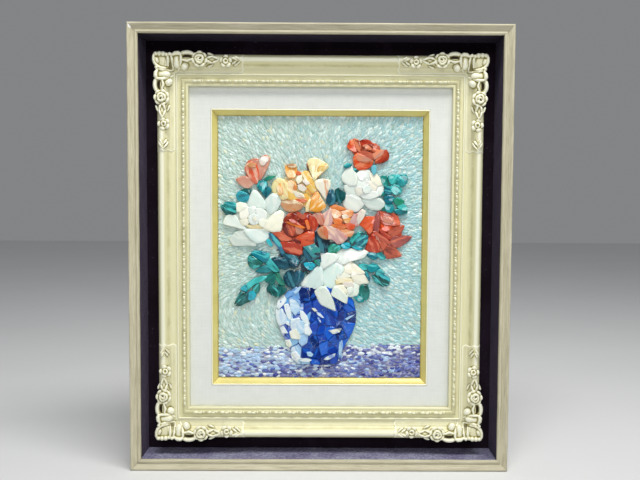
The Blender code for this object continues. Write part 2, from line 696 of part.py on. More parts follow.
def rose(bloom):
    """A rose of cut petals: three rows that step up towards the heart, each row scalloped."""
    outline = bloom_outline(bloom)
    count = len(outline)
    middle = place(bloom.x, bloom.z)
    rows = (
        # share of the outline, height share, scallops, depth of the notches, pinwheel tilt
        (1.0, 0.0, 0, 0.0, 0.0),
        (1.0, 0.3, bloom.petals, 0.0, 0.1),
        (0.7, 0.52, bloom.petals, 0.0, 0.1),
        (0.66, 0.76, bloom.petals - 1, 0.2, 0.08),
        (0.4, 0.78, bloom.petals - 1, 0.1, 0.08),
        (0.35, 1.0, 3, 0.2, 0.05),
    )
    rings = []
    for share, height, lobes, notch, tilt in rows:
        ring = []
        for k, point in enumerate(outline):
            around = 2 * math.pi * k / count
            reach = share * (1 - notch * (1 - abs(math.cos(lobes * around / 2 + 0.6))))
            spot = middle.lerp(point, reach)
            rise = height + tilt * math.sin(lobes * around)
            ring.append((spot.x, -(FIGURE_BACK + ROSE_RISE * rise), spot.y))
        rings.append(ring)
    tip = (middle.x, -(FIGURE_BACK + ROSE_RISE * 0.75), middle.y)
    return stacked_rings(bloom.name, rings, tip, bloom.colour)


def leaf_outline(leaf, grow=0.0):
    """A pointed outline of six points."""
    turn = math.radians(leaf.angle)
    shape = ((0.5, 0), (0.17, 0.5), (-0.24, 0.46), (-0.5, 0), (-0.24, -0.46), (0.17, -0.5))
    points = []
    for along, side in shape:
        along, side = along * leaf.length, side * leaf.width
        x = leaf.x + along * math.cos(turn) - side * math.sin(turn)
        z = leaf.z + along * math.sin(turn) + side * math.cos(turn)
        points.append(place(x, z))
    return offset_line(points, -grow, True) if grow else points


def stone_leaf(leaf):
    """One leaf: an upright edge, and two sloped sides that meet on a ridge."""
    middle = place(leaf.x, leaf.z)
    rings = []
    for share, height in ((1.0, 0.0), (1.0, 0.4), (0.35, 0.9)):
        spots = [middle.lerp(point, share) for point in leaf_outline(leaf)]
        rings.append([(spot.x, -(FIGURE_BACK + LEAF_RISE * height), spot.y) for spot in spots])
    tip = (middle.x, -(FIGURE_BACK + LEAF_RISE), middle.y)
    return stacked_rings("stone_leaf", rings, tip)


def half_size(figure):
    """Half of a leaf's length, or half of the larger side of anything else."""
    return (figure.length if isinstance(figure, Leaf) else max(figure.width, figure.height)) / 2


def near(one, other):
    """Whether two figures of the bouquet may touch."""
    return math.hypot(one.x - other.x, one.z - other.z) < half_size(one) + half_size(other) + 1


def figure_cutters(figure, placed):
    """Prisms a little larger than the blooms and the placed leaves that this figure could touch."""
    front = FIGURE_BACK + 2 * max(ROSE_RISE, LEAF_RISE, JAR_RISE)
    outlines = [bloom_outline(bloom, FIT) for bloom in BLOOMS if near(figure, bloom)]
    outlines += [leaf_outline(leaf, FIT) for leaf in placed if near(figure, leaf)]
    return [prism(outline, BOARD_FRONT, front) for outline in outlines]


def leaf_sprays():
    """Stone leaves, fused where they touch and cut back where a petal lies over them."""
    placed = []
    for name, (colour, leaves) in SPRAYS.items():
        spray = stone_leaf(leaves[0])
        if leaves[1:]:
            combine(spray, "UNION", [stone_leaf(leaf) for leaf in leaves[1:]])
        for leaf in leaves:
            cutters = figure_cutters(leaf, placed)
            if cutters:
                combine(spray, "DIFFERENCE", cutters)
        placed.extend(leaves)
        spray.name = name
        spray.data.materials.clear()
        spray.data.materials.append(finish(colour))


def jar():
    """The ginger jar: a rounded relief in two parts, pale shards on the left and lapis on the right."""
    width = max(right - left for _, left, right, _ in JAR_ROWS)
    mouth, foot = JAR_ROWS[0][0], JAR_ROWS[-1][0]
    middle = (JAR_ROWS[0][1] + JAR_ROWS[0][2]) / 2
    space = Bloom("jar", middle, (mouth + foot) / 2, width, mouth - foot, 0, 0, "lapis")
    leaves = [leaf for _, spray in SPRAYS.values() for leaf in spray]
    for name, colour, side in (("jar_pale_stones", "pale_lapis", -1), ("jar_lapis", "lapis", 1)):
        grid = []
        for z, left, right, split in JAR_ROWS:
            axis, half = (left + right) / 2, (right - left) / 2
            seam = split + side * FIT / SHARE_ACROSS
            start, end = (left, seam) if side < 0 else (seam, right)
            row = []
            for k in range(JAR_COLUMNS + 1):
                x = start + (end - start) * k / JAR_COLUMNS
                swell = math.sqrt(max(0.0, 1 - ((x - axis) / half) ** 2))
                row.append((*place(x, z), FIGURE_BACK + JAR_RISE * (0.25 + 0.75 * swell)))
            grid.append(row)
        body = relief_patch(name, grid, FIGURE_BACK, colour)
        combine(body, "DIFFERENCE", figure_cutters(space, leaves))


def picture():
    """The stones themselves: two beds, nine roses, the sprays of leaves and the jar."""
    top = SIGHT_HEIGHT / 2 - FIT
    shelf = -SIGHT_HEIGHT / 2 + TABLE_HEIGHT
    stone_bed("table_stones", -top, shelf - FIT / 2, CHIP_SPACING / 2, "amethyst_chips", SEED)
    stone_bed("background_stones", shelf + FIT / 2, top, CHIP_SPACING, "aqua_chips", SEED + 1)
    for bloom in BLOOMS:
        rose(bloom)
    leaf_sprays()
    jar()


def main():
    for item in list(bpy.data.objects):
        bpy.data.objects.remove(item)
    outer_frame()
    gilded_frame()
    mat_and_slip()
    picture()


main()
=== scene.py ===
# %% [markdown]
# # A picture laid in cut stones, in a gilded frame
#
# Roses in a blue jar, made of hundreds of pieces of coloured stone, lie behind a linen mat in a
# gilded frame with cast corners. The whole hangs inside a deep wooden frame lined with velvet.
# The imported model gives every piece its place. This lesson dresses it: first the frames, then the
# stones, and the materials where they are first needed.

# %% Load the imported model
import json
import math

import bmesh
import bpy
import numpy as np
from mathutils import Matrix, Vector

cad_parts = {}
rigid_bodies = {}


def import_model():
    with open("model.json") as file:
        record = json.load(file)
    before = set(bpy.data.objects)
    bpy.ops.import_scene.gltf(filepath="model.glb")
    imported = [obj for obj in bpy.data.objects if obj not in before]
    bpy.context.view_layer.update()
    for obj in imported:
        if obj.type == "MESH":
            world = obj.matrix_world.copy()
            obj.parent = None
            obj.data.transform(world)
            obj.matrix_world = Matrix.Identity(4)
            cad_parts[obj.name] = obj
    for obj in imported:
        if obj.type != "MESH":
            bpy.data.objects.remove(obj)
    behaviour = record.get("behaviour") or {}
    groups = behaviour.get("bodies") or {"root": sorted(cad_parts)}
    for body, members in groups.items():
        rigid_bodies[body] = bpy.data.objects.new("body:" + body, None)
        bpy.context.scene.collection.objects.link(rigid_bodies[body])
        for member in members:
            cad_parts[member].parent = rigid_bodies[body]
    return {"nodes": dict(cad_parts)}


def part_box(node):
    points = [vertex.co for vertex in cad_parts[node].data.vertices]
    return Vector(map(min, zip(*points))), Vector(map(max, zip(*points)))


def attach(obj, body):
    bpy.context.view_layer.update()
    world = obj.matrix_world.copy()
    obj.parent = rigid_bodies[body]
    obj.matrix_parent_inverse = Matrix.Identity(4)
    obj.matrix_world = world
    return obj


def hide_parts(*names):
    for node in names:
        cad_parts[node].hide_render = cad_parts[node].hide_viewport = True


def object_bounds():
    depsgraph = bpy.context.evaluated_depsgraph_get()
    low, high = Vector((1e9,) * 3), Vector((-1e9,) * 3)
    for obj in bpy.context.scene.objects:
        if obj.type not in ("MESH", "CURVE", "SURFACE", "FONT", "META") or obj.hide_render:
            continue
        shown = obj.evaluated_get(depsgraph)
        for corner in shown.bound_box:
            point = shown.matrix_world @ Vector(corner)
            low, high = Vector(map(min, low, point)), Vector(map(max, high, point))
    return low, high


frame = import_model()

MM = 0.001
cad_low, cad_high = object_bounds()
print("the model measures", [round(v / MM, 1) for v in cad_high - cad_low], "mm")

# %% [markdown]
# ## Nodes as expressions
#
# A material or a geometry tree is a graph of nodes, and wiring it by hand hides the idea. A small
# class wraps a socket, so that `1 - mask * 0.5` adds its Math nodes, and a second class makes any
# other node in one call from its type, its settings and its inputs.


# %% A socket that can be added and multiplied
class Signal:
    """A value that flows through a node tree."""

    def __init__(self, tree, socket):
        self.tree = tree
        self.socket = socket

    def maths(self, operation, first, second):
        return self.tree.node("ShaderNodeMath", {"operation": operation}, {0: first, 1: second})

    def __add__(self, other):
        return self.maths("ADD", self, other)

    def __radd__(self, other):
        return self.maths("ADD", other, self)

    def __sub__(self, other):
        return self.maths("SUBTRACT", self, other)

    def __rsub__(self, other):
        return self.maths("SUBTRACT", other, self)

    def __mul__(self, other):
        return self.maths("MULTIPLY", self, other)

    def __rmul__(self, other):
        return self.maths("MULTIPLY", other, self)


class Tree:
    """A node tree that is written as short calls."""

    def __init__(self, tree):
        self.tree = tree

    def node(self, kind, settings=None, inputs=None, output=0):
        made = self.tree.nodes.new(kind)
        for key, value in (settings or {}).items():
            if key == "stops":
                self.set_stops(made.color_ramp.elements, value)
            else:
                setattr(made, key, value)
        for key, value in (inputs or {}).items():
            if isinstance(value, Signal):
                self.tree.links.new(value.socket, made.inputs[key])
            else:
                made.inputs[key].default_value = value
        return Signal(self, made.outputs[output])

    def set_stops(self, elements, stops):
        """A ramp starts with two stops, which become the first and the last of these."""
        for end in (0, -1):
            elements[end].position, elements[end].color = stops[end]
        for place, colour in stops[1:-1]:
            elements.new(place).color = colour


# %% A material and the few nodes that most of them share
def paint(red, green, blue):
    """A colour given as 0 to 255 on a screen, in the linear values that shaders use."""
    parts = [v / 255 for v in (red, green, blue)]
    return (*[v / 12.92 if v <= 0.04045 else ((v + 0.055) / 1.055) ** 2.4 for v in parts], 1.0)


class Finish(Tree):
    """A material with a Principled shader. Values that vary over it are wired by name."""

    def __init__(self, name, **steady):
        self.material = bpy.data.materials.new(name)
        self.material.use_nodes = True
        super().__init__(self.material.node_tree)
        self.shader = self.tree.nodes["Principled BSDF"]
        for key, value in steady.items():
            self.shader.inputs[key.replace("_", " ")].default_value = value

    def wire(self, **signals):
        for key, signal in signals.items():
            self.tree.links.new(signal.socket, self.shader.inputs[key.replace("_", " ")])
        return self.material

    def place(self):
        return self.node("ShaderNodeTexCoord", output="Object")

    def own(self, name, output="Fac"):
        """A value that the mesh itself carries."""
        return self.node("ShaderNodeAttribute", {"attribute_name": name}, output=output)

    def stretch(self, vector, scale):
        return self.node("ShaderNodeMapping", None, {"Vector": vector, "Scale": scale})

    def noise(self, vector, scale, detail=3.0, roughness=0.55, distortion=0.0):
        values = {"Vector": vector, "Scale": scale, "Detail": detail}
        values.update({"Roughness": roughness, "Distortion": distortion})
        return self.node("ShaderNodeTexNoise", None, values)

    def ramp(self, signal, *stops):
        return self.node("ShaderNodeValToRGB", {"stops": stops}, {"Fac": signal})

    def between(self, signal, low, high):
        """0 below low, 1 above high, and a smooth step from one to the other."""
        settings = {"interpolation_type": "SMOOTHSTEP"}
        return self.node("ShaderNodeMapRange", settings, {0: signal, 1: low, 2: high, 3: 0.0, 4: 1.0})

    def mix(self, share, first, second):
        return self.node("ShaderNodeMix", {"data_type": "RGBA"}, {0: share, 6: first, 7: second}, output=2)

    def bump(self, height, distance, strength):
        values = {"Height": height, "Distance": distance, "Strength": strength}
        return self.node("ShaderNodeBump", None, values)


# %% [markdown]
# ## Meshes from arrays
#
# Most pieces here are long mouldings, so they come from one profile that is run along a side or
# round a rectangle. The points are worked out with numpy, which is fast, and each mesh carries
# values of its own: `lay` says how the grain runs, and `hollow` how deep a spot lies.


# %% Make a piece, and let it ride on the part
FIELDS = {1: ("FLOAT", "value"), 3: ("FLOAT_VECTOR", "vector"), 4: ("FLOAT_COLOR", "color")}


def add_object(name, data):
    item = bpy.data.objects.new(name, data)
    bpy.context.scene.collection.objects.link(item)
    return item


def mesh_of(bm, name):
    """A mesh from a bmesh, which is freed."""
    mesh = bpy.data.meshes.new(name)
    bm.to_mesh(mesh)
    bm.free()
    return mesh


def give_values(mesh, **values):
    """Stores a number, a vector or a colour for every point of a mesh."""
    for key, data in values.items():
        data = np.asarray(data, dtype=np.float32)
        kind, field = FIELDS[1 if data.ndim == 1 else data.shape[1]]
        mesh.attributes.new(key, kind, "POINT").data.foreach_set(field, data.ravel())


def make_piece(name, points, faces, material, crease=35, **values):
    mesh = bpy.data.meshes.new(name)
    mesh.from_pydata(np.asarray(points).tolist(), [], faces)
    mesh.materials.append(material)
    give_values(mesh, **values)
    mesh.shade_smooth()
    mesh.set_sharp_from_angle(angle=math.radians(crease))
    return add_object(name, mesh)


def settle(piece, slot, *nodes):
    """Every piece here rides on the one body, and most of them stand for nodes of the model."""
    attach(piece, "root")
    if nodes:
        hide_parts(*nodes)
    piece.data.update()
    print(f"{piece.name}: {len(piece.data.polygons)} faces")


# %% Waviness, rows of faces, and points along a curve of a profile
def ripple(points, size, seed):
    """Slow random waves between -1 and 1 at points in space, the same on every run."""
    random = np.random.default_rng(seed)
    total = np.zeros(len(points))
    for way in random.normal(size=(9, 3)):
        total += np.sin(points @ (way * 2 * math.pi / size) + random.uniform(0, 2 * math.pi))
    return total / 3


def quads(rows, columns, start=0, joined_rows=False, joined_columns=True):
    """Faces between neighbours in rows of points; joined ones close on themselves."""
    faces = []
    for r in range(rows if joined_rows else rows - 1):
        here, there = start + r * columns, start + (r + 1) % rows * columns
        for k in range(columns if joined_columns else columns - 1):
            m = (k + 1) % columns
            faces.append([here + k, here + m, there + m, there + k])
    return faces


def arc(centre, reach, start, end, steps):
    """Points on an ellipse, from one angle to another in degrees."""
    turns = np.radians(np.linspace(start, end, steps + 1))
    return [(centre[0] + reach[0] * math.cos(a), centre[1] + reach[1] * math.sin(a)) for a in turns]


def fine(profile, step):
    """The same profile, in mm, with more points on its long flats."""
    points = []
    for (u, d), (v, e) in zip(profile, profile[1:] + profile[:1]):
        count = max(1, math.ceil(math.hypot(v - u, e - d) / step))
        points += [(u + (v - u) * k / count, d + (e - d) * k / count) for k in range(count)]
    return points


# %% One mitred length of a moulding
SIDES = {"top": (0, 1), "bottom": (0, -1), "left": (-1, 0), "right": (1, 0)}
BOARD_STARTS = {"top": 0.0, "bottom": 3.1, "left": 7.7, "right": 12.9}
SAW_GAP = 0.15


def moulding(name, side, size, profile, material, cuts, wave, **worn):
    """Runs a profile (mm inwards, mm in front of the wall) along one side of a rectangle.

    wave is the height and the length of its waviness, in mm; worn values are given for each point
    of the profile, or work them out from the points.
    """
    across, up = SIDES[side]
    profile = np.array(profile)
    inwards, depth = profile[:, 0] * MM, profile[:, 1] * MM
    travelled = np.concatenate([[0], np.cumsum(np.linalg.norm(np.diff(profile, axis=0), axis=1))])
    half = size[1] / 2 if across else size[0] / 2
    along = np.linspace(-1, 1, cuts + 1)[:, None] * (half - inwards - SAW_GAP * MM)[None, :]
    edge = (size[0] / 2 if across else size[1] / 2) - inwards[None, :] + 0 * along
    depths = depth[None, :] + 0 * along
    x, z = (across * edge, along) if across else (along, up * edge)
    points = np.stack([x, -depths, z], axis=2).reshape(-1, 3)
    points += (wave[0] * MM * ripple(points, wave[1] * MM, len(name)))[:, None] * [across, 0, up]
    count = len(profile)
    faces = quads(cuts + 1, count)
    faces += [list(range(count))[::-1], [cuts * count + k for k in range(count)]]
    if side in ("top", "left"):
        faces = [face[::-1] for face in faces]
    run = along + BOARD_STARTS[side]
    lay = np.stack([run, travelled[None, :] * MM + 0 * along, 0 * along], axis=2).reshape(-1, 3)
    for key, value in worn.items():
        worn[key] = np.tile(value, cuts + 1) if np.ndim(value) else value(points)
    return make_piece(name, points, faces, material, lay=lay, **worn)


# %% [markdown]
# ## The outer frame
#
# Four lengths of wood are sawn at 45 degrees and glued. Their face is narrow: a rounded edge, a
# shallow scoop that falls inwards and a bead at the lip. The paint is a greyed taupe that shows the
# grain, rubbed lighter on the edges. The grain has to turn with each side, so the material reads
# `lay`, which runs along the length, and not the object's own axes.

# %% Weathered wood
def weathered_wood():
    wood = Finish("weathered_wood", Roughness=0.62, Specular_IOR_Level=0.35)
    lay = wood.own("lay", "Vector")
    fibres = wood.noise(wood.stretch(lay, (9.0, 420.0, 1.0)), 3.0, 6.0, 0.65, 0.6)
    pores = wood.noise(wood.stretch(lay, (60.0, 1500.0, 1.0)), 1.0, 2.0)
    patches = wood.noise(wood.stretch(lay, (14.0, 50.0, 1.0)), 1.0, 4.0)
    colour = wood.ramp(
        fibres,
        (0.28, paint(142, 134, 110)),
        (0.46, paint(182, 175, 148)),
        (0.62, paint(207, 201, 175)),
        (0.8, paint(221, 217, 196)),
    )
    rubbed = wood.between(patches, 0.45, 0.75) * 0.55
    colour = wood.mix(rubbed, colour, paint(214, 208, 184))
    colour = wood.mix(wood.between(pores, 0.62, 0.75) * 0.5, colour, paint(104, 92, 66))
    colour = wood.mix(wood.own("rubbed") * (patches * 0.5 + 0.1), colour, paint(218, 212, 186))
    colour = wood.mix(wood.between(wood.own("chip"), 0.42, 0.5), colour, paint(240, 240, 236))
    height = fibres * 0.5 + pores * 0.3 + wood.own("chip") * -1.5
    return wood.wire(Base_Color=colour, Normal=wood.bump(height, 0.3 * MM, 0.8))


# %% The four rails
OUTER = (cad_high.x - cad_low.x, cad_high.z - cad_low.z)
RAIL_WIDTH = 15.0
rail_face = arc((2, 66), (2, 2), 180, 70, 5) + [(4.4, 66.5), (6.6, 64.7), (8.6, 63.4), (9.9, 63.0)]
rail_face += arc((12.4, 62.6), (2.5, 2.2), 160, 0, 12)
rail_profile = [(0, 0), (0, 30)] + rail_face
rail_profile += [(RAIL_WIDTH, 60.2), (11, 60.2), (11, 8), (6, 8), (6, 0)]
rail_rubbed = [0.5 if 11.0 < u < 13.8 and d > 63.9 else 0.25 for u, d in rail_profile]
CHIP_AT = (-OUTER[0] / 2 + 3.5 * MM, -67 * MM, OUTER[1] / 2 - 4.5 * MM)
CHIP_REACH = 9 * MM


def chipped(points):
    """Near 1 at the knocked corner. It fades twice as fast across the rail as along it."""
    away = np.linalg.norm((points - CHIP_AT) / [0.5, 1, 1], axis=1) / CHIP_REACH
    return np.clip(1 - away + 0.25 * ripple(points, 5 * MM, 3), 0, 1)


def whole(points):
    return np.zeros(len(points))


wood = weathered_wood()
for side in SIDES:
    worn = {"rubbed": rail_rubbed, "chip": chipped if side == "left" else whole}
    name = f"outer_rail_{side}_wood"
    rail = moulding(name, side, OUTER, rail_profile, wood, cuts=90, wave=(0.12, 90), **worn)
    settle(rail, "weathered_wood", f"outer_rail_{side}")

# %% [markdown]
# ## Velvet
#
# The inside is card covered in dark aubergine velvet. Velvet is nearly black seen straight on and
# turns pale violet at a grazing angle, which is what a shader's sheen does. The pile is brushed in
# slow patches, and the surface is never quite flat, so the lining gets a slight wave of its own.
# The strip along the bottom lies face up: it has caught dust, and its pile is painted paler, as light from
# above makes it.

# %% Velvet material
def velvet():
    cloth = Finish("velvet", Roughness=0.95, Sheen_Weight=0.3, Sheen_Roughness=0.3)
    cloth.shader.inputs["Sheen Tint"].default_value = paint(190, 176, 214)
    cloth.shader.inputs["Specular IOR Level"].default_value = 0.15
    place = cloth.place()
    brushed = cloth.noise(place, 14.0, 3.0, 0.6, 0.8)
    pile = cloth.noise(place, 900.0, 2.0, 0.8)
    dust = cloth.noise(place, 330.0, 1.0)
    colour = cloth.ramp(
        brushed * 0.7 + pile * 0.3,
        (0.3, paint(20, 11, 18)),
        (0.52, paint(32, 21, 32)),
        (0.75, paint(46, 34, 52)),
    )
    dust_and_lit_pile = cloth.ramp(
        brushed * 0.45 + dust * 0.55,
        (0.3, paint(92, 84, 122)),
        (0.5, paint(134, 132, 160)),
        (0.7, paint(178, 182, 202)),
    )
    # painted light: the bottom strip is mixed towards a pale colour for its dust and for the light that falls
    # on it from above
    colour = cloth.mix(cloth.own("dust") * 0.9, colour, dust_and_lit_pile)
    colour = cloth.mix(cloth.between(dust, 0.72, 0.78) * 0.12, colour, paint(180, 184, 210))
    height = pile * 0.8 + brushed * 0.4
    return cloth.wire(Base_Color=colour, Normal=cloth.bump(height, 0.5 * MM, 0.7))


# %% Lining of the four sides, and the ground behind the gilded frame
lining = fine([(11.3, 8.0), (11.3, 59.9), (13.4, 59.9), (14.0, 59.2), (14.0, 8.0)], 4.0)
pile_cloth = velvet()
for side in SIDES:
    name = f"velvet_side_{side}_pile"
    # only the bottom strip is marked for dust and painted light
    dust = [1.0 if side == "bottom" else 0.0] * len(lining)
    piece = moulding(name, side, OUTER, lining, pile_cloth, cuts=90, wave=(0.16, 70), dust=dust)
    settle(piece, "velvet", f"velvet_side_{side}")


def slab(name, size, back, front, material, cells, wave, seed):
    """A flat board whose front face is slightly uneven; wave is its depth and its length."""
    columns, rows = cells
    xs = np.linspace(-size[0] / 2, size[0] / 2, columns + 1)
    zs = np.linspace(-size[1] / 2, size[1] / 2, rows + 1)
    grid = np.stack(np.meshgrid(xs, zs), axis=2).reshape(-1, 2)
    face = np.stack([grid[:, 0], np.full(len(grid), -front), grid[:, 1]], axis=1)
    face[:, 1] += wave[0] * np.minimum(0, ripple(face, wave[1], seed) - 1) * -0.5
    rear = np.stack([grid[:, 0], np.full(len(grid), -back), grid[:, 1]], axis=1)
    wide = columns + 1
    faces = quads(rows + 1, wide, joined_columns=False)
    rim = list(range(wide)) + [r * wide + columns for r in range(1, rows + 1)]
    rim += [rows * wide + c for c in range(columns - 1, -1, -1)] + [r * wide for r in range(rows - 1, 0, -1)]
    start = len(face)
    corners = np.array([rear[k] for k in rim])
    for k in range(len(rim)):
        m = (k + 1) % len(rim)
        faces.append([rim[m], rim[k], start + k, start + m])
    faces.append([start + k for k in range(len(rim))][::-1])
    return make_piece(name, np.concatenate([face, corners]), faces, material)


low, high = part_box("velvet_ground")
size = (high.x - low.x, high.z - low.z)
ground = slab("velvet_ground_pile", size, -high.y, -low.y, pile_cloth, (90, 106), (0.3 * MM, 0.09), 5)
settle(ground, "velvet", "velvet_ground")

# %% [markdown]
# ## Gilding
#
# The frame is wood covered in gesso, gilded, then toned: a thin olive wash stays in the hollows and
# is wiped off the crests. So the material mixes two colours by `hollow`, which each mesh carries,
# with some noise that breaks the edge of the wash.


# %% Gilded finishes
def gilding(name, crest, leaf, wash, metal, roughness):
    """crest is rubbed gold, leaf the flat of it, and wash the toning in the hollows."""
    gold = Finish(name, Roughness=roughness, Metallic=metal)
    place = gold.place()
    cloud = gold.noise(place, 45.0, 4.0, 0.6)
    speck = gold.noise(place, 620.0, 2.0, 0.7)
    streak = gold.noise(gold.stretch(gold.own("lay", "Vector"), (20.0, 300.0, 1.0)), 1.0, 4.0)
    hollow = gold.own("hollow")
    washed = gold.between(hollow + cloud * 0.5 + speck * 0.16 - 0.33, 0.28, 0.95)
    colour = gold.mix(washed, leaf, wash)
    colour = gold.mix(gold.between(streak, 0.5, 0.8) * 0.35, colour, crest)
    worn = gold.between(cloud - hollow * 0.8, 0.48, 0.78)
    colour = gold.mix(worn * 0.6, colour, crest)
    colour = gold.mix(gold.between(speck, 0.68, 0.78) * 0.3, colour, wash)
    colour = gold.mix(gold.between(0.14 - hollow, 0.0, 0.12), colour, crest)
    # painted shade: a hollow value above 1 turns the colour near black, which the castings use for the shadow
    # under the open scroll
    colour = gold.mix(gold.between(hollow, 1.08, 1.35), colour, paint(52, 44, 24))
    height = cloud * 0.5 + speck * 0.35 + streak * 0.25
    return gold.wire(Base_Color=colour, Normal=gold.bump(height, 0.25 * MM, 0.7))


pale_gilding = gilding(
    "pale_gilding", paint(243, 242, 216), paint(226, 222, 180), paint(150, 140, 74), 0.1, 0.42
)

# %% [markdown]
# ## The gilded moulding
#
# Its section is the joiner's work: a fat torus at the outer edge, a cove, a thin fillet, a flat
# groove, a rounded band that carries the ornament, and a small lip over the mat. All four sides are
# one piece, because gesso and leaf hide the mitres.

# %% Section of the gilded moulding
gilded_low, gilded_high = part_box("gilded_frame")
GILDED = (gilded_high.x - gilded_low.x, gilded_high.z - gilded_low.z)
BAND_MIDDLE = 38.9
BAND_TOP = 33.6
BAND_WASH = 0.52
HIDDEN_WASH = 0.6
gilded_face = arc((7.89, 30), (7.89, 11), 180, 48, 18)
gilded_face += [(14.6, 35.9), (16.05, 33.74), (18.2, 32.1)]
gilded_face += arc((28, 31.76), (8.2, 1.76), 180, 270, 8)[1:]
gilded_face += arc((29.2, 31.4), (1.2, 1.2), 180, 0, 8)
gilded_face += [(30.4, 30), (32.4, 29.9), (35.4, 30)]
gilded_face += arc((BAND_MIDDLE, 30), (3.5, 3.6), 160, 20, 12)
gilded_face += [(42.4, 31.8), (43.2, 31.9), (45.4, 31.8), (46, 31.2)]
gilded_profile = [(2, 8)] + gilded_face + [(46, 23.8), (38, 23.8), (38, 8)]


def wash_depth(profile):
    """How much toning stays at each point: most where the face dips below a smooth line."""
    line = np.array(profile)
    hollow = np.full(len(line), HIDDEN_WASH)
    for k in range(3, len(line) - 3):
        u, d = line[k]
        close = line[np.abs(line[:, 0] - u) < 4.5]
        hollow[k] = np.clip((close[:, 1].max() - d) / 10.0, 0, 1)
    return hollow


gilded_hollow = wash_depth(gilded_profile)
for k, (u, _) in enumerate(gilded_profile):
    if 35 < u < 43:
        gilded_hollow[k] = BAND_WASH
print("the moulding has", len(gilded_profile), "points round its section")


# %% A closed ring of moulding
def ring(name, size, profile, material, cuts, wave, hollow=None):
    """Runs a profile round a rectangle as one closed piece."""
    profile = np.array(profile)
    count = len(profile)
    loops = []
    lays = []
    travelled = np.concatenate([[0], np.cumsum(np.linalg.norm(np.diff(profile, axis=0), axis=1))]) * MM
    share = np.linspace(0, 1, cuts, endpoint=False)
    corners = [(-1, 1), (1, 1), (1, -1), (-1, -1)]
    for number, (start, end) in enumerate(zip(corners, corners[1:] + corners[:1])):
        for part in share:
            right = start[0] + (end[0] - start[0]) * part
            up = start[1] + (end[1] - start[1]) * part
            x = right * (size[0] / 2 - profile[:, 0] * MM)
            z = up * (size[1] / 2 - profile[:, 0] * MM)
            loops.append(np.stack([x, -profile[:, 1] * MM, z], axis=1))
            run = (right * size[0] if start[1] == end[1] else up * size[1]) / 2
            lays.append(np.stack([np.full(count, run + 2.3 * number), travelled, 0 * travelled], axis=1))
    points = np.concatenate(loops)
    points[:, 1] += wave[0] * MM * ripple(points, wave[1] * MM, 11)
    total = len(loops)
    faces = [quad[:1] + quad[:0:-1] for quad in quads(total, count, joined_rows=True)]
    values = {"lay": np.concatenate(lays)}
    if hollow is not None:
        values["hollow"] = np.tile(hollow, total)
    return make_piece(name, points, faces, material, **values)


gilded = ring("gilded_frame_moulding", GILDED, gilded_profile, pale_gilding, 70, (0.1, 60), gilded_hollow)
settle(gilded, "pale_gilding", "gilded_frame")

# %% [markdown]
# ## The ornament on the sight band
#
# A leaf, a ribbon's two ends and two beads repeat round the opening, about every 19 mm. Such
# ornament was pressed in moulds and glued on in strips. A geometry tree does the same: it walks a
# path, puts one unit on each step, turns it to follow the path, and joins all of them into one mesh.


# %% One unit of the sight band
def lump(bm, centre, reach, turn=0.0, tilt=0.0, detail=2):
    """An ellipsoid: its place, its three half sizes, its turn in the plane and its tilt, in mm."""
    place = Matrix.Translation(Vector(centre)) @ Matrix.Rotation(math.radians(turn), 4, "Z")
    place = place @ Matrix.Rotation(math.radians(-tilt), 4, "Y") @ Matrix.Diagonal((*reach, 1))
    return bmesh.ops.create_icosphere(bm, subdivisions=detail, radius=1, matrix=place)["verts"]


def band_unit():
    """A leaf with its rib, the two ends of a ribbon and two beads."""
    bm = bmesh.new()
    lump(bm, (-4.6, 0.5, -0.1), (4.7, 2.9, 1.7), 12)
    lump(bm, (-4.2, 0.6, 0.9), (3.6, 1.0, 1.0), 12, detail=1)
    lump(bm, (0.9, -2.0, -0.2), (3.0, 1.4, 1.3), -24)
    lump(bm, (1.1, 2.1, -0.2), (3.0, 1.4, 1.3), 24)
    for place, reach in ((3.6, 1.9), (7.4, 1.6)):
        lump(bm, (place, 0, 0.1), (reach, reach, reach))
    bmesh.ops.scale(bm, vec=(MM, 1.15 * MM, 1.2 * MM), verts=bm.verts)
    mesh = mesh_of(bm, "band_unit")
    mesh.shade_smooth()
    return bpy.data.objects.new("band_unit", mesh)


# %% A geometry tree that repeats a shape
class Grower(Tree):
    """Sets a shape on every point, joins all of them and gives them a finish."""

    def __init__(self, name, **inputs):
        group = bpy.data.node_groups.new(name, "GeometryNodeTree")
        super().__init__(group)
        self.sockets = {}
        for key, kind in inputs.items():
            made = group.interface.new_socket(name=key, in_out="INPUT", socket_type=f"NodeSocket{kind}")
            self.sockets[key] = made.identifier
        group.interface.new_socket(name="result", in_out="OUTPUT", socket_type="NodeSocketGeometry")
        given = group.nodes.new("NodeGroupInput")
        self.asked = {key: Signal(self, given.outputs[k]) for k, key in enumerate(inputs)}

    def chance(self, low, high, seed):
        settings = {"data_type": "FLOAT"}
        return self.node("FunctionNodeRandomValue", settings, {2: low, 3: high, "Seed": seed}, 1)

    def lay(self, points, shape, turn, size, pick=False):
        """With pick, shape is a collection, and each point gets one of its members."""
        values = {"Points": points, "Instance": shape, "Rotation": turn, "Scale": size, "Pick Instance": pick}
        laid = self.node("GeometryNodeInstanceOnPoints", None, values)
        joined = self.node("GeometryNodeRealizeInstances", None, {"Geometry": laid})
        values = {"Geometry": joined, "Material": self.asked["finish"]}
        done = self.node("GeometryNodeSetMaterial", None, values)
        out = self.tree.nodes.new("NodeGroupOutput")
        self.tree.links.new(done.socket, out.inputs[0])

    def grow(self, maker, name, **settings):
        """Runs the tree once on an object and keeps the result as a plain mesh."""
        step = maker.modifiers.new("grow", "NODES")
        step.node_group = self.tree
        for key, value in settings.items():
            step[self.sockets[key]] = value
        graph = bpy.context.evaluated_depsgraph_get()
        graph.update()
        mesh = bpy.data.meshes.new_from_object(maker.evaluated_get(graph), depsgraph=graph)
        bpy.data.objects.remove(maker)
        mesh.name = name
        return add_object(name, mesh)


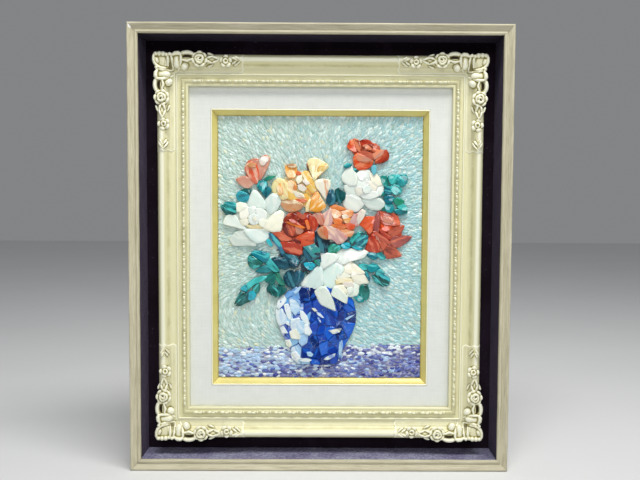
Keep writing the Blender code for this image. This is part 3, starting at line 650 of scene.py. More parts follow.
def units_on_path():
    """A unit on every step of a path, turned to follow it."""
    tree = Grower(
        "units_on_a_path", path="Geometry", unit="Object", pitch="Float", finish="Material", uneven="Float"
    )
    asked = tree.asked
    curve = tree.node("GeometryNodeMeshToCurve", None, {"Mesh": asked["path"]})
    spacing = {"Curve": curve, "Length": asked["pitch"]}
    steps = tree.node("GeometryNodeResampleCurve", {"mode": "LENGTH"}, spacing)
    follow = {"axis": "X", "pivot_axis": "Y"}
    way = {"Vector": tree.node("GeometryNodeInputTangent")}
    turn = tree.node("FunctionNodeAlignRotationToVector", follow, way)
    size = tree.chance(1 - asked["uneven"], 1.0, 4)
    unit = tree.node("GeometryNodeObjectInfo", None, {"Object": asked["unit"]}, "Geometry")
    tree.lay(steps, unit, turn, size)
    return tree


# %% Lay the ornament round the opening
unit = band_unit()
units_tree = units_on_path()
band_half = (GILDED[0] / 2 - BAND_MIDDLE * MM, GILDED[1] / 2 - BAND_MIDDLE * MM)
UNIT_PITCH = 19.3 * MM
SINK = 0.35
for side, (across, up) in SIDES.items():
    half = band_half[1] if across else band_half[0]
    count = round(2 * half / UNIT_PITCH) - 1
    reach = (count - 1) / 2 * UNIT_PITCH
    ends = []
    for way in (-1, 1):
        x, z = (across * band_half[0], way * reach) if across else (way * reach, up * band_half[1])
        ends.append((x, -(BAND_TOP - SINK) * MM, z))
    path = bpy.data.meshes.new("path")
    path.from_pydata(ends, [(0, 1)], [])
    strip = units_tree.grow(
        add_object("path", path),
        f"sight_band_{side}",
        unit=unit,
        pitch=UNIT_PITCH,
        finish=pale_gilding,
        uneven=0.12,
    )
    heights = np.array([vert.co.y for vert in strip.data.vertices]) / MM + BAND_TOP
    give_values(strip.data, hollow=np.clip(0.3 + heights * 0.5, 0, 1))
    settle(strip, "pale_gilding")
bpy.data.objects.remove(unit)

# %% [markdown]
# ## Cast corners
#
# Each corner is capped by a casting of gesso composition: a curled shell on the mitre, and on each
# arm an acanthus leaf, an open scroll, a rose, a sprig, a small flower and a leafy tip. A carver
# would build it from lumps and rolls of clay. Here too: ellipsoids and tapered rolls overlap on a
# thin panel, and a voxel remesh melts them into one closed skin, as the mould and the gilding did.


# %% Modelling in clay
CLAY_LIFT = 2.2
ROLL_SIDES = 8


class Clay:
    """Lumps and rolls on one arm: s runs along the frame from the corner, t inwards, in mm."""

    def __init__(self, bm, length, along_top):
        self.bm = bm
        self.length = length
        self.along_top = along_top

    def set_down(self, verts):
        """Turns (s, t, height) into (right of the corner, below the corner, height)."""
        for vert in verts:
            s, t, height = vert.co
            vert.co = (s, t, height + CLAY_LIFT) if self.along_top else (t, s, height + CLAY_LIFT)

    def lump(self, centre, reach, turn=0.0, tilt=0.0, detail=2):
        self.set_down(lump(self.bm, centre, reach, turn, tilt, detail))

    def roll(self, points, thick, flat=1.0):
        """A tapered roll through points; thick gives its half thickness at each of them."""
        line = [Vector(point) for point in points]
        loops = []
        made = []
        for k, middle in enumerate(line):
            way = (line[min(k + 1, len(line) - 1)] - line[max(k - 1, 0)]).normalized()
            side = way.cross(Vector((0, 0, 1))).normalized()
            top = side.cross(way)
            loop = []
            for j in range(ROLL_SIDES):
                turn = 2 * math.pi * j / ROLL_SIDES
                offset = side * math.cos(turn) + top * (math.sin(turn) * flat)
                loop.append(self.bm.verts.new(middle + offset * thick[k]))
            loops.append(loop)
            made += loop
        for loop, following in zip(loops, loops[1:]):
            for j in range(ROLL_SIDES):
                m = (j + 1) % ROLL_SIDES
                self.bm.faces.new((loop[j], loop[m], following[m], following[j]))
        self.bm.faces.new(loops[0])
        self.bm.faces.new(loops[-1])
        self.set_down(made)

    def curl(self, centre, reach, start, end, height, thick, flat=1.0, rise=0.0, steps=14, closing=0.0):
        """A roll bent round an ellipse, thickest in its middle; it closes in by a share of its reach."""
        points = []
        girth = []
        for share in np.linspace(0, 1, steps + 1):
            turn = math.radians(start + (end - start) * share)
            near = 1 - closing * share
            x = centre[0] + near * reach[0] * math.cos(turn)
            y = centre[1] + near * reach[1] * math.sin(turn)
            points.append((x, y, height + rise * math.sin(math.pi * share)))
            girth.append(thick * (0.35 + 0.65 * math.sin(math.pi * share) ** 0.6))
        self.roll(points, girth, flat)


def seat_height(inwards):
    """Height of the moulding under a point, from its distance to the outer edge."""
    return np.interp(inwards, [u for u, _ in gilded_face], [d for _, d in gilded_face])


# %% Flowers and leaves of the casting
def petals(clay, s, t, size, turns, out, reach, height, tilt):
    """A ring of petals about (s, t); out and reach are shares of the flower's size."""
    for turn in turns:
        way = Vector((math.cos(math.radians(turn)), math.sin(math.radians(turn))))
        centre = (s + way.x * size * out, t + way.y * size * out, height)
        clay.lump(centre, (size * reach[0], size * reach[1], 2.2), turn, tilt, 3)


def big_rose(clay, s, t, size):
    """A full rose: seven rolled outer petals, and inner ones that wrap round the heart."""
    clay.lump((s, t, 36.6), (size * 0.86, size * 0.86, 3.6), detail=3)
    petals(clay, s, t, size, [360 / 7 * k + 12 for k in range(7)], 0.7, (0.3, 0.38), 39.6, 30)
    for k in range(3):
        turn = 120 * k + 40
        clay.curl((s, t), (size * 0.5, size * 0.5), turn, turn + 165, 42.0, 2.1, 1.25, 0.4, 14, 0.34)
    clay.curl((s, t), (size * 0.2, size * 0.2), 0, 300, 42.6, 1.5, 1.2, 0.6, 12, 0.4)


def small_flower(clay, s, t, size):
    """Five round petals about a ring with a bead in it."""
    clay.lump((s, t, 36.0), (size * 0.8, size * 0.8, 3.2), detail=3)
    petals(clay, s, t, size, [72 * k - 18 for k in range(5)], 0.66, (0.36, 0.42), 38.8, 16)
    clay.curl((s, t), (size * 0.31, size * 0.31), 0, 352, 40.4, 1.9, 1.2, 0.0, 14)
    clay.lump((s, t, 39.6), (1.3, 1.3, 1.5))


def leaf_tip(clay, s, t, length, spread):
    """A pointed leaf that looks away from the corner: two fat blades on each side of a groove."""
    for hand in (-1, 1):
        line = []
        for share in (0, 0.35, 0.7, 1):
            place = s - length * share
            across = t + hand * (0.5 + spread * share**0.8)
            line.append((place, across, float(seat_height(max(across, 2))) + 1.6 - 0.5 * share))
        clay.roll(line, [0.5, 1.5, 1.9, 0.9], 0.9)


def acanthus(clay):
    """The leaf that wraps the arm beside the shell: two folds, a broad lobe and a wavy edge."""
    clay.lump((31.0, 10.0, 37.2), (6.0, 12.0, 4.4), 0, 0, 3)
    clay.roll([(23.0, 3.0, 41.2), (24.6, 10, 40.4), (24.8, 18, 35.6), (24.0, 25, 32.4)], [1.4, 2.0, 1.7, 1.0])
    clay.roll([(37.6, 3.5, 41.6), (37.8, 10, 40.6), (35.6, 18, 36.4), (32.0, 25, 32.6)], [1.9, 2.4, 1.9, 1.0])
    edge = [(17.5, 3.0, 40.4), (21.5, 1.4, 41.4), (25.0, 2.8, 41.0), (29.0, 0.8, 41.8), (34.0, 0.4, 42.2)]
    clay.roll(edge + [(38.5, 2.2, 41.4)], [1.8, 2.9, 2.2, 3.1, 3.2, 2.0], 1.1)


def open_scroll(clay):
    """A fat C over a hollow whose shadow is painted near black, with a rim on its inner side and a ball leaf
    below.
    """
    clay.curl((46.4, 3.6), (10.0, 4.7), 172, 368, 38.8, 3.2, 1.15, 1.2, 20)
    clay.roll([(39.5, 9.8, 41.0), (46.5, 11.6, 40.4), (53.5, 9.0, 41.0)], [1.4, 2.1, 1.4], 1.1)
    clay.lump((41.8, 18.0, 34.6), (5.6, 6.6, 4.8), 22, 0, 3)


def arm(clay):
    """Everything on one arm, from the corner outwards."""
    acanthus(clay)
    open_scroll(clay)
    big_rose(clay, 65.0, 8.6, 12.4)
    leaf_tip(clay, 86.0, 3.6, 10.0, 3.2)
    leaf_tip(clay, 85.0, 15.4, 10.0, 3.4)
    leaf_tip(clay, 94.0, 9.6, 11.0, 4.0)
    small_flower(clay, 103.6, 11.4, 9.6)
    tail = clay.length - 6.0
    leaf_tip(clay, tail, 10.6, 11.0, 6.0)
    leaf_tip(clay, tail - 6.0, 10.6, 8.0, 4.0)


def corner_boss(clay):
    """The curled shell on the mitre: a bowl with flutes, a rim, lobes on top and a curl in it."""
    clay.lump((8.0, 10.6, 36.4), (11.6, 12.8, 4.8), 0, 0, 3)
    rim = [(-1.0, 0.0, 40.6), (-2.3, 5.0, 41.4), (-2.1, 10.4, 41.6), (-0.4, 15.6, 41.4), (3.2, 19.8, 40.8)]
    rim += [(8.0, 21.8, 40.0), (12.8, 22.0, 38.6), (17.2, 21.8, 37.0)]
    clay.roll(rim, [1.6, 2.4, 2.7, 2.7, 2.6, 2.4, 2.1, 1.4], 1.1)
    side = [(18.0, 2.6, 40.4), (18.6, 9, 40.4), (18.2, 16, 38.4), (17.6, 22, 36.0)]
    clay.roll(side, [1.9, 2.2, 1.9, 1.2], 1.1)
    for s, t, size in ((0.8, 1.4, 3.2), (6.0, 1.2, 3.6), (11.6, 1.4, 3.7), (16.6, 2.6, 3.0)):
        clay.lump((s, t, 40.4), (size * 1.05, size, 3.5), 0, 0, 3)
    clay.lump((2.2, 11.0, 40.2), (3.0, 5.2, 3.8), -18, 0, 3)
    for k in range(4):
        top = 6.6 + 3.0 * k
        clay.roll([(top, 7.5, 39.6), (top - 0.2, 13.5, 39.8), (top - 0.6, 19.0, 38.6)], [1.1, 1.4, 0.9], 0.8)


# %% The panel that carries the relief
PANEL_WIDTH = 26.6
ARM_LENGTHS = (132.0, 146.0)


def casting_panel(bm):
    """A thin panel over the torus and the cove, bent round the corner, with scalloped ends."""
    across = np.concatenate([[0, 0], np.linspace(0.3, PANEL_WIDTH, 20)])
    heights = np.concatenate([[24.0, 29.0], seat_height(across[2:])])
    loops = []
    for inwards, height in zip(across, heights):
        loop = []
        for number in (1, 0):
            scallop = 2.2 * abs(math.sin(inwards / PANEL_WIDTH * math.pi * 2.5))
            stop = ARM_LENGTHS[number] - scallop - inwards * 0.08
            shares = np.linspace(1, 0, 19) if number == 1 else np.linspace(0, 1, 19)[1:]
            for share in shares:
                run = inwards + (stop - inwards) * share
                loop.append((inwards, run, height) if number == 1 else (run, inwards, height))
        loops.append(loop)
    wide = len(loops[0])
    layers = []
    for lift in (1.2, -1.6):
        layer = []
        for loop, inwards in zip(loops, across):
            tall = lift if lift < 0 else lift * min(1.0, 0.3 + (PANEL_WIDTH - inwards) / 8)
            layer.append([bm.verts.new((x, y, z + tall)) for x, y, z in loop])
        layers.append(layer)
    front, back = layers
    for r in range(len(across) - 1):
        for k in range(wide - 1):
            bm.faces.new((front[r][k], front[r][k + 1], front[r + 1][k + 1], front[r + 1][k]))
            bm.faces.new((back[r][k], back[r + 1][k], back[r + 1][k + 1], back[r][k + 1]))
        for k in (0, wide - 1):
            bm.faces.new((front[r][k], front[r + 1][k], back[r + 1][k], back[r][k]))
    for k in range(wide - 1):
        bm.faces.new((front[0][k], back[0][k], back[0][k + 1], front[0][k + 1]))
        bm.faces.new((front[-1][k], front[-1][k + 1], back[-1][k + 1], back[-1][k]))


# %% Melt the clay into one skin
VOXEL = 0.62


def values_of(items, field, width, kind=float):
    """One value of every vertex or edge, as an array."""
    values = np.empty(len(items) * width, dtype=kind)
    items.foreach_get(field, values)
    return values.reshape(-1, width)


def melted_corner():
    bm = bmesh.new()
    arms = (Clay(bm, ARM_LENGTHS[0], True), Clay(bm, ARM_LENGTHS[1], False))
    casting_panel(bm)
    corner_boss(arms[0])
    for clay in arms:
        arm(clay)
    bmesh.ops.recalc_face_normals(bm, faces=bm.faces)
    maker = add_object("clay", mesh_of(bm, "clay"))
    melt = maker.modifiers.new("melt", "REMESH")
    melt.mode = "VOXEL"
    melt.voxel_size = VOXEL
    soften = maker.modifiers.new("soften", "SMOOTH")
    soften.factor = 0.5
    soften.iterations = 4
    graph = bpy.context.evaluated_depsgraph_get()
    result = maker.evaluated_get(graph).to_mesh()
    points = values_of(result.vertices, "co", 3)
    normals = values_of(result.vertices, "normal", 3)
    edges = values_of(result.edges, "vertices", 2, int)
    faces = [list(face.vertices) for face in result.polygons]
    bpy.data.objects.remove(maker)
    return points, normals, edges, faces


def wash_in_hollows(points, normals, edges):
    """Toning by curvature: high where the neighbours stand above a point."""
    ends = np.concatenate([edges, edges[:, ::-1]])
    count = np.bincount(ends[:, 0], minlength=len(points))[:, None]
    mean = np.stack([np.bincount(ends[:, 0], points[ends[:, 1], k], len(points)) for k in range(3)], axis=1)
    curve = np.einsum("ij,ij->i", mean / count - points, normals)
    for _ in range(5):
        curve = np.bincount(ends[:, 0], curve[ends[:, 1]], len(points)) / count[:, 0] * 0.6 + curve * 0.4
    return np.clip(0.34 + curve / 0.042, 0, 1)


# painted shade: the skin under the open scroll is coloured near black as the shadow of its opening
OPENING_PAINTED_SHADE = 1.5
VALLEY_WASH = 0.75
points, normals, edges, faces = melted_corner()
toning = wash_in_hollows(points, normals, edges)
for s, t in ((0, 1), (1, 0)):
    shaded_opening = ((points[:, s] - 46.4) / 6.8) ** 2 + ((points[:, t] - 6.2) / 3.9) ** 2 < 1
    toning[shaded_opening & (points[:, 2] < 42.0)] = OPENING_PAINTED_SHADE
    valley = (points[:, s] > 19.5) & (points[:, s] < 23.5) & (points[:, t] > 3) & (points[:, t] < 24)
    toning[valley & (points[:, 2] < 41.6)] = VALLEY_WASH
inwards = np.minimum(points[:, 0], points[:, 1])
seat = seat_height(inwards) + 0.12
points[:, 2] = np.where(inwards > 0.2, np.maximum(points[:, 2], seat), points[:, 2])
print("one corner has", len(faces), "faces and stands up to", points[:, 2].max().round(1), "mm")

# %% Cast it four times, mirrored to each corner
casting = gilding("gilded_casting", paint(246, 245, 222), paint(230, 226, 188), paint(150, 140, 74), 0.1, 0.4)
CORNERS = {"top_left": (-1, 1), "top_right": (1, 1), "bottom_left": (-1, -1), "bottom_right": (1, -1)}
for name, (right, up) in CORNERS.items():
    x = right * (GILDED[0] / 2 - points[:, 0] * MM)
    z = up * (GILDED[1] / 2 - points[:, 1] * MM)
    placed = np.stack([x, -points[:, 2] * MM, z], axis=1)
    turned = [face[::-1] for face in faces] if right * up > 0 else faces
    piece = make_piece(f"corner_casting_{name}", placed, turned, casting, 60, hollow=toning, lay=placed)
    settle(piece, "gilded_casting", f"corner_ornament_{name}")

# %% [markdown]
# ## The linen mat and the gold slip
#
# The mat is a flat wooden liner covered in fine linen. Its weave is under a millimetre, so it is a
# bump from two crossed waves, with slubs where a thread is thicker. Inside it lies the slip, a
# narrow bevel in brighter gold that leads down to the stones.

# %% Linen
def linen_cloth():
    cloth = Finish("linen", Roughness=0.9, Specular_IOR_Level=0.2)
    place = cloth.place()
    drift = cloth.noise(place, 60.0, 2.0)
    threads = []
    for direction, seed in (("X", 0.0), ("Z", 3.0)):
        settings = {"wave_type": "BANDS", "bands_direction": direction}
        values = {"Vector": place, "Scale": 300.0, "Distortion": 1.2, "Detail": 2.0, "Detail Scale": 1.5}
        values["Phase Offset"] = seed
        threads.append(cloth.node("ShaderNodeTexWave", settings, values, "Fac"))
    slubs = cloth.noise(cloth.stretch(place, (30.0, 1.0, 900.0)), 1.0, 2.0)
    slubs = slubs * 0.5 + cloth.noise(cloth.stretch(place, (900.0, 1.0, 30.0)), 1.0, 2.0) * 0.5
    weave = threads[0] * 0.5 + threads[1] * 0.5
    colour = cloth.ramp(
        weave * 0.45 + slubs * 0.4 + drift * 0.15,
        (0.25, paint(207, 210, 202)),
        (0.5, paint(229, 232, 227)),
        (0.8, paint(240, 243, 240)),
    )
    return cloth.wire(Base_Color=colour, Normal=cloth.bump(weave * 0.7 + slubs * 0.6, 0.18 * MM, 0.8))


low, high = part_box("linen_mat")
MAT = (high.x - low.x, high.z - low.z)
mat_front = -low.y / MM
mat_width = (MAT[0] - 2 * abs(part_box("gold_slip_left")[0].x)) / 2 / MM - 0.3
mat_profile = fine(
    [(0, 12.3), (0, mat_front - 0.5), (0.5, mat_front), (mat_width - 0.8, mat_front)], 3.0
)[:-1]
mat_profile += arc((mat_width - 0.8, mat_front - 0.8), (0.8, 0.8), 90, 0, 4) + [(mat_width, 12.3)]
mat = ring("linen_mat_cloth", MAT, mat_profile, linen_cloth(), 60, (0.06, 40))
settle(mat, "linen", "linen_mat")

# %% The gold slip
slip_gold = gilding("gold_slip", paint(254, 251, 228), paint(226, 212, 130), paint(168, 150, 62), 0.12, 0.3)
slip_low, slip_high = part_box("gold_slip_left")[0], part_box("gold_slip_right")[1]
SLIP = (slip_high.x - slip_low.x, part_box("gold_slip_top")[1].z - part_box("gold_slip_bottom")[0].z)
slip_profile = [(0, 12.3), (0, 23.7), (0.2, 24.1), (0.6, 24.3), (1.3, 24.3), (1.7, 24.0), (2.0, 23.4)]
slip_profile += [(2.0 + 7.1 * k / 12, 23.4 - 8.3 * (k / 12) ** 0.86) for k in range(1, 13)]
slip_profile += [(9.45, 15.0), (9.5, 14.7), (9.5, 12.3)]
slip_hollow = [0.0 if u < 1.8 else 0.36 + 0.36 * (u > 8) for u, _ in slip_profile]
for side in SIDES:
    name = f"gold_slip_{side}_gilt"
    piece = moulding(name, side, SLIP, slip_profile, slip_gold, cuts=40, wave=(0.03, 50), hollow=slip_hollow)
    settle(piece, "gold_slip", f"gold_slip_{side}")

# %% [markdown]
# ## Polished stone
#
# Every stone in the picture was sawn, ground and polished, so it is smooth, glossy and a little
# translucent. Its colour comes in bands and clouds that run through the block that it was cut from.
# One recipe serves all kinds: each stone carries its own `tint` and its own `lay`, and the kind adds
# its light and dark bands, veins and depth.


# %% One recipe for every kind of stone
VEINS_PER_METRE = 120.0


def stone_finish(name, light, dark, bands, share, roughness, depth=0.0, veins=None):
    """light and dark are laid over a stone's tint; bands is their count per metre across it."""
    stone = Finish(name, Roughness=roughness, Specular_IOR_Level=0.25, Coat_Weight=0.3, Coat_Roughness=0.04)
    if depth:
        stone.shader.inputs["Subsurface Weight"].default_value = depth
        stone.shader.inputs["Subsurface Radius"].default_value = (1.0, 0.9, 0.75)
        stone.shader.inputs["Subsurface Scale"].default_value = 2.5 * MM
    lay = stone.own("lay", "Vector")
    tint = stone.own("tint", "Color")
    warp = stone.noise(lay, 55.0, 4.0, 0.6)
    swirl = stone.node("ShaderNodeTexNoise", None, {"Vector": lay, "Scale": 40.0, "Detail": 3.0}, "Color")
    bent = stone.node("ShaderNodeVectorMath", {"operation": "SCALE"}, {0: swirl, "Scale": 0.012})
    moved = stone.node("ShaderNodeVectorMath", {"operation": "ADD"}, {0: lay, 1: bent})
    stripe = stone.noise(stone.stretch(moved, (bands, bands * 0.16, bands * 0.4)), 1.0, 4.0, 0.6)
    colour = stone.mix(stone.between(stripe, 0.52, 0.62) * share, tint, light)
    colour = stone.mix(stone.between(1 - stripe, 0.54, 0.66) * share, colour, dark)
    colour = stone.mix(stone.between(warp, 0.35, 0.75) * 0.25, colour, light)
    if veins:
        edges = {"feature": "DISTANCE_TO_EDGE"}
        crack = stone.node("ShaderNodeTexVoronoi", edges, {"Vector": moved, "Scale": VEINS_PER_METRE})
        thin = stone.between(0.04 - crack, 0.0, 0.035) * stone.between(warp, 0.5, 0.66)
        colour = stone.mix(thin * 0.45, colour, veins)
    ground = stone.noise(lay, 380.0, 2.0)
    height = ground * 0.4 + stripe * 0.6
    return stone.wire(Base_Color=colour, Normal=stone.bump(height, 0.12 * MM, 0.5))


# light bands, dark bands, bands per metre, their strength, roughness, depth and veins
RECIPES = {
    "shell_white": (paint(250, 251, 240), paint(200, 218, 208), 110, 0.4, 0.14, 0.3),
    "red_jasper": (paint(226, 124, 92), paint(92, 12, 10), 150, 0.8, 0.1),
    "carnelian": (paint(238, 146, 104), paint(112, 20, 12), 150, 0.8, 0.1, 0.1),
    "coral": (paint(250, 216, 190), paint(206, 74, 28), 150, 0.7, 0.12, 0.15),
    "amber": (paint(254, 242, 208), paint(212, 118, 30), 130, 0.75, 0.12, 0.2),
    "malachite": (paint(90, 206, 206), paint(0, 36, 40), 160, 0.85, 0.1),
    "dark_stone": (paint(70, 136, 152), paint(2, 12, 26), 150, 0.75, 0.1),
    "lapis": (paint(30, 104, 208), paint(2, 14, 72), 130, 0.65, 0.12, 0.0, paint(200, 204, 190)),
    "pale_lapis": (paint(252, 253, 253), paint(150, 190, 232), 90, 0.5, 0.16, 0.0, paint(70, 120, 205)),
    "aqua_chips": (paint(232, 240, 234), paint(156, 190, 180), 40, 0.3, 0.3),
    "amethyst_chips": (paint(236, 238, 250), paint(58, 48, 140), 60, 0.25, 0.18),
}
STONES = {name: stone_finish(name, *recipe) for name, recipe in RECIPES.items()}
print(len(STONES), "kinds of stone")

# %% [markdown]
# ## Cutting a stone
#
# A cut stone is a rounded outline, an upright edge, a ground bevel that catches the light and a
# slightly domed, tilted top. The outline starts as a few corners. Cutting the corners off twice, as
# a lapidary would, rounds them and keeps the long sides straight. The top falls away from the middle
# of its flower and tilts a little its own way, so each stone throws back a different part of the
# room.


# %% Outlines, rounded by cutting corners
def rounded(corners, passes, cut):
    """Cuts every corner off; cut is the share of each side that goes."""
    line = np.array(corners, dtype=float)
    for _ in range(passes):
        following = np.roll(line, -1, axis=0)
        line = np.stack([line * (1 - cut) + following * cut, line * cut + following * (1 - cut)], axis=1)
        line = line.reshape(-1, 2)
    return line


# %% A heap of stones that becomes one piece
# the stones are drawn in units of 4.02 mm, with the middle of the picture at 0, 0
UNIT = 4.02
STONES_BACK = 14.8
STONE_THICKNESS = 3.6
SPREAD = 1.13
TINT_VARIES = 0.08
# from the foot to the crown: share of the outline, share of the height
SECTION = ((0.95, 0.0), (1.0, 0.3), (1.0, 0.7), (0.955, 0.88), (0.86, 1.0), (0.64, 1.0), (0.34, 1.0))


class Heap:
    """Collects cut stones into one mesh. Each has its own tint and its own way for the grain."""

    def __init__(self, seed):
        self.random = np.random.default_rng(seed)
        self.points = []
        self.faces = []
        self.tint = []
        self.lay = []
        self.count = 0

    def add(self, outline, middle, height, crown, tint, angle):
        """outline in mm on the picture; crown(x, z) gives the extra height of the top, in mm."""
        outline = np.asarray(outline)
        following = np.roll(outline, -1, axis=0)
        if np.sum(outline[:, 0] * following[:, 1] - outline[:, 1] * following[:, 0]) < 0:
            outline = outline[::-1]
        loops = []
        for share, part in SECTION:
            flat = middle + (outline - middle) * share
            lift = crown(flat[:, 0], flat[:, 1]) * part
            tall = STONES_BACK + np.maximum(height * part + lift, 0.4 * part)
            loops.append(np.stack([flat[:, 0], -tall, flat[:, 1]], axis=1))
        top = STONES_BACK + height + float(crown(middle[0], middle[1]))
        size = len(outline)
        start = self.count
        stack = np.concatenate(loops + [[[middle[0], -top, middle[1]]]])
        self.faces += quads(len(SECTION), size, start)
        peak = start + len(stack) - 1
        at = peak - size
        for k in range(size):
            self.faces.append([at + k, at + (k + 1) % size, peak])
        self.faces.append([start + k for k in range(size)][::-1])
        self.points.append(stack)
        self.count += len(stack)
        turn = math.radians(angle)
        local = (stack[:, [0, 2]] - middle) * MM
        along = local[:, 0] * math.cos(turn) + local[:, 1] * math.sin(turn)
        side = -local[:, 0] * math.sin(turn) + local[:, 1] * math.cos(turn)
        shift = self.random.uniform(0, 5, 3)
        self.lay.append(np.stack([side, along, stack[:, 1] * MM], axis=1) + shift)
        self.tint.append(np.tile(np.array(tint), (len(stack), 1)))

    def plate(self, corners, tint, lift, hub, slope, tilt):
        """A stone by its corners, in tenths of the unit; lift in mm. It slopes down from the hub."""
        outline = rounded(np.array(corners).reshape(-1, 2) * UNIT / 10, 2, 0.14)
        middle = outline.mean(axis=0)
        outline = middle + (outline - middle) * SPREAD
        flat = outline - middle
        reach = np.hypot(flat[:, 0], flat[:, 1]).max()
        longest = flat[np.argmax(np.hypot(flat[:, 0], flat[:, 1]))]
        away = middle - hub
        lean = -slope * away / max(np.hypot(*away), 4.0) + self.random.uniform(-tilt, tilt, 2)
        hump = self.random.uniform(0.6, 1.1)
        wobble = self.random.uniform(0, 6.28, 2)

        def crown(px, pz):
            x, z = px - middle[0], pz - middle[1]
            dome = hump * (1 - np.minimum(1.0, (x**2 + z**2) / reach**2))
            facet = 0.2 * np.sin(x / 2.9 + wobble[0]) * np.cos(z / 3.3 + wobble[1])
            return lift + dome + facet + lean[0] * x + lean[1] * z

        shade = 1 + self.vary()
        colour = [min(1.0, channel * shade * (1 + self.vary() * 0.4)) for channel in tint[:3]]
        angle = math.degrees(math.atan2(longest[1], longest[0]))
        self.add(outline, middle, STONE_THICKNESS, crown, [*colour, 1.0], angle)

    def vary(self):
        return self.random.uniform(-TINT_VARIES, TINT_VARIES)

    def piece(self, name, kind):
        points = np.concatenate(self.points) * MM
        values = {"tint": np.concatenate(self.tint), "lay": np.concatenate(self.lay)}
        return make_piece(name, points, self.faces, STONES[kind], 32, **values)


# %% [markdown]
# ## Roses and leaves
#
# A rose is laid from the outside in: broad outer petals first, then smaller ones that overlap them,
# and at last the slivers of the heart, each standing a little higher than the one before. A leaf is
# two or three stones side by side. Every stone is listed by its tint, how high it stands and its
# corners, and the cutting above does the rest. A plain low stone lies under each bloom, so that no
# gap between its petals shows the board.

# %% Colours of the stones
TINTS = {
    "white": paint(229, 241, 231),
    "cool": paint(215, 234, 227),
    "cream": paint(243, 241, 220),
    # painted shade: a shaded copy of white, for a low petal of the left white rose
    "white_in_shade": paint(204, 225, 215),
    "milk": paint(228, 220, 212),
    "red": paint(172, 46, 24),
    "deep": paint(130, 28, 20),
    "maroon": paint(107, 27, 27),
    "flame": paint(220, 78, 30),
    "rosy": paint(190, 88, 66),
    "plum": paint(153, 80, 80),
    "blush": paint(206, 146, 126),
    "lilac": paint(202, 162, 164),
    "orange": paint(226, 120, 40),
    "apricot": paint(232, 156, 98),
    "honey": paint(234, 158, 46),
    "gold": paint(234, 190, 80),
    "butter": paint(240, 224, 168),
    "tan": paint(193, 138, 95),
    "bark": paint(112, 66, 40),
    "bark_gold": paint(190, 130, 70),
    "teal": paint(8, 124, 132),
    "sea": paint(4, 93, 116),
    "jade": paint(10, 107, 96),
    "bottle": paint(4, 72, 68),
    "pine": paint(1, 47, 42),
    "moss": paint(31, 138, 102),
    "pale_teal": paint(59, 175, 172),
    "lagoon": paint(40, 168, 188),
    "lagoon_deep": paint(0, 122, 142),
    "mist": paint(104, 172, 192),
    "jade_grey": paint(59, 151, 146),
    "slate": paint(18, 60, 78),
    "steel": paint(30, 82, 104),
    "night": paint(24, 20, 38),
    "blue_grey": paint(40, 100, 146),
    "chalk": paint(224, 238, 240),
    "ice": paint(176, 214, 238),
    "ivory": paint(232, 236, 214),
    "sky": paint(96, 158, 220),
}

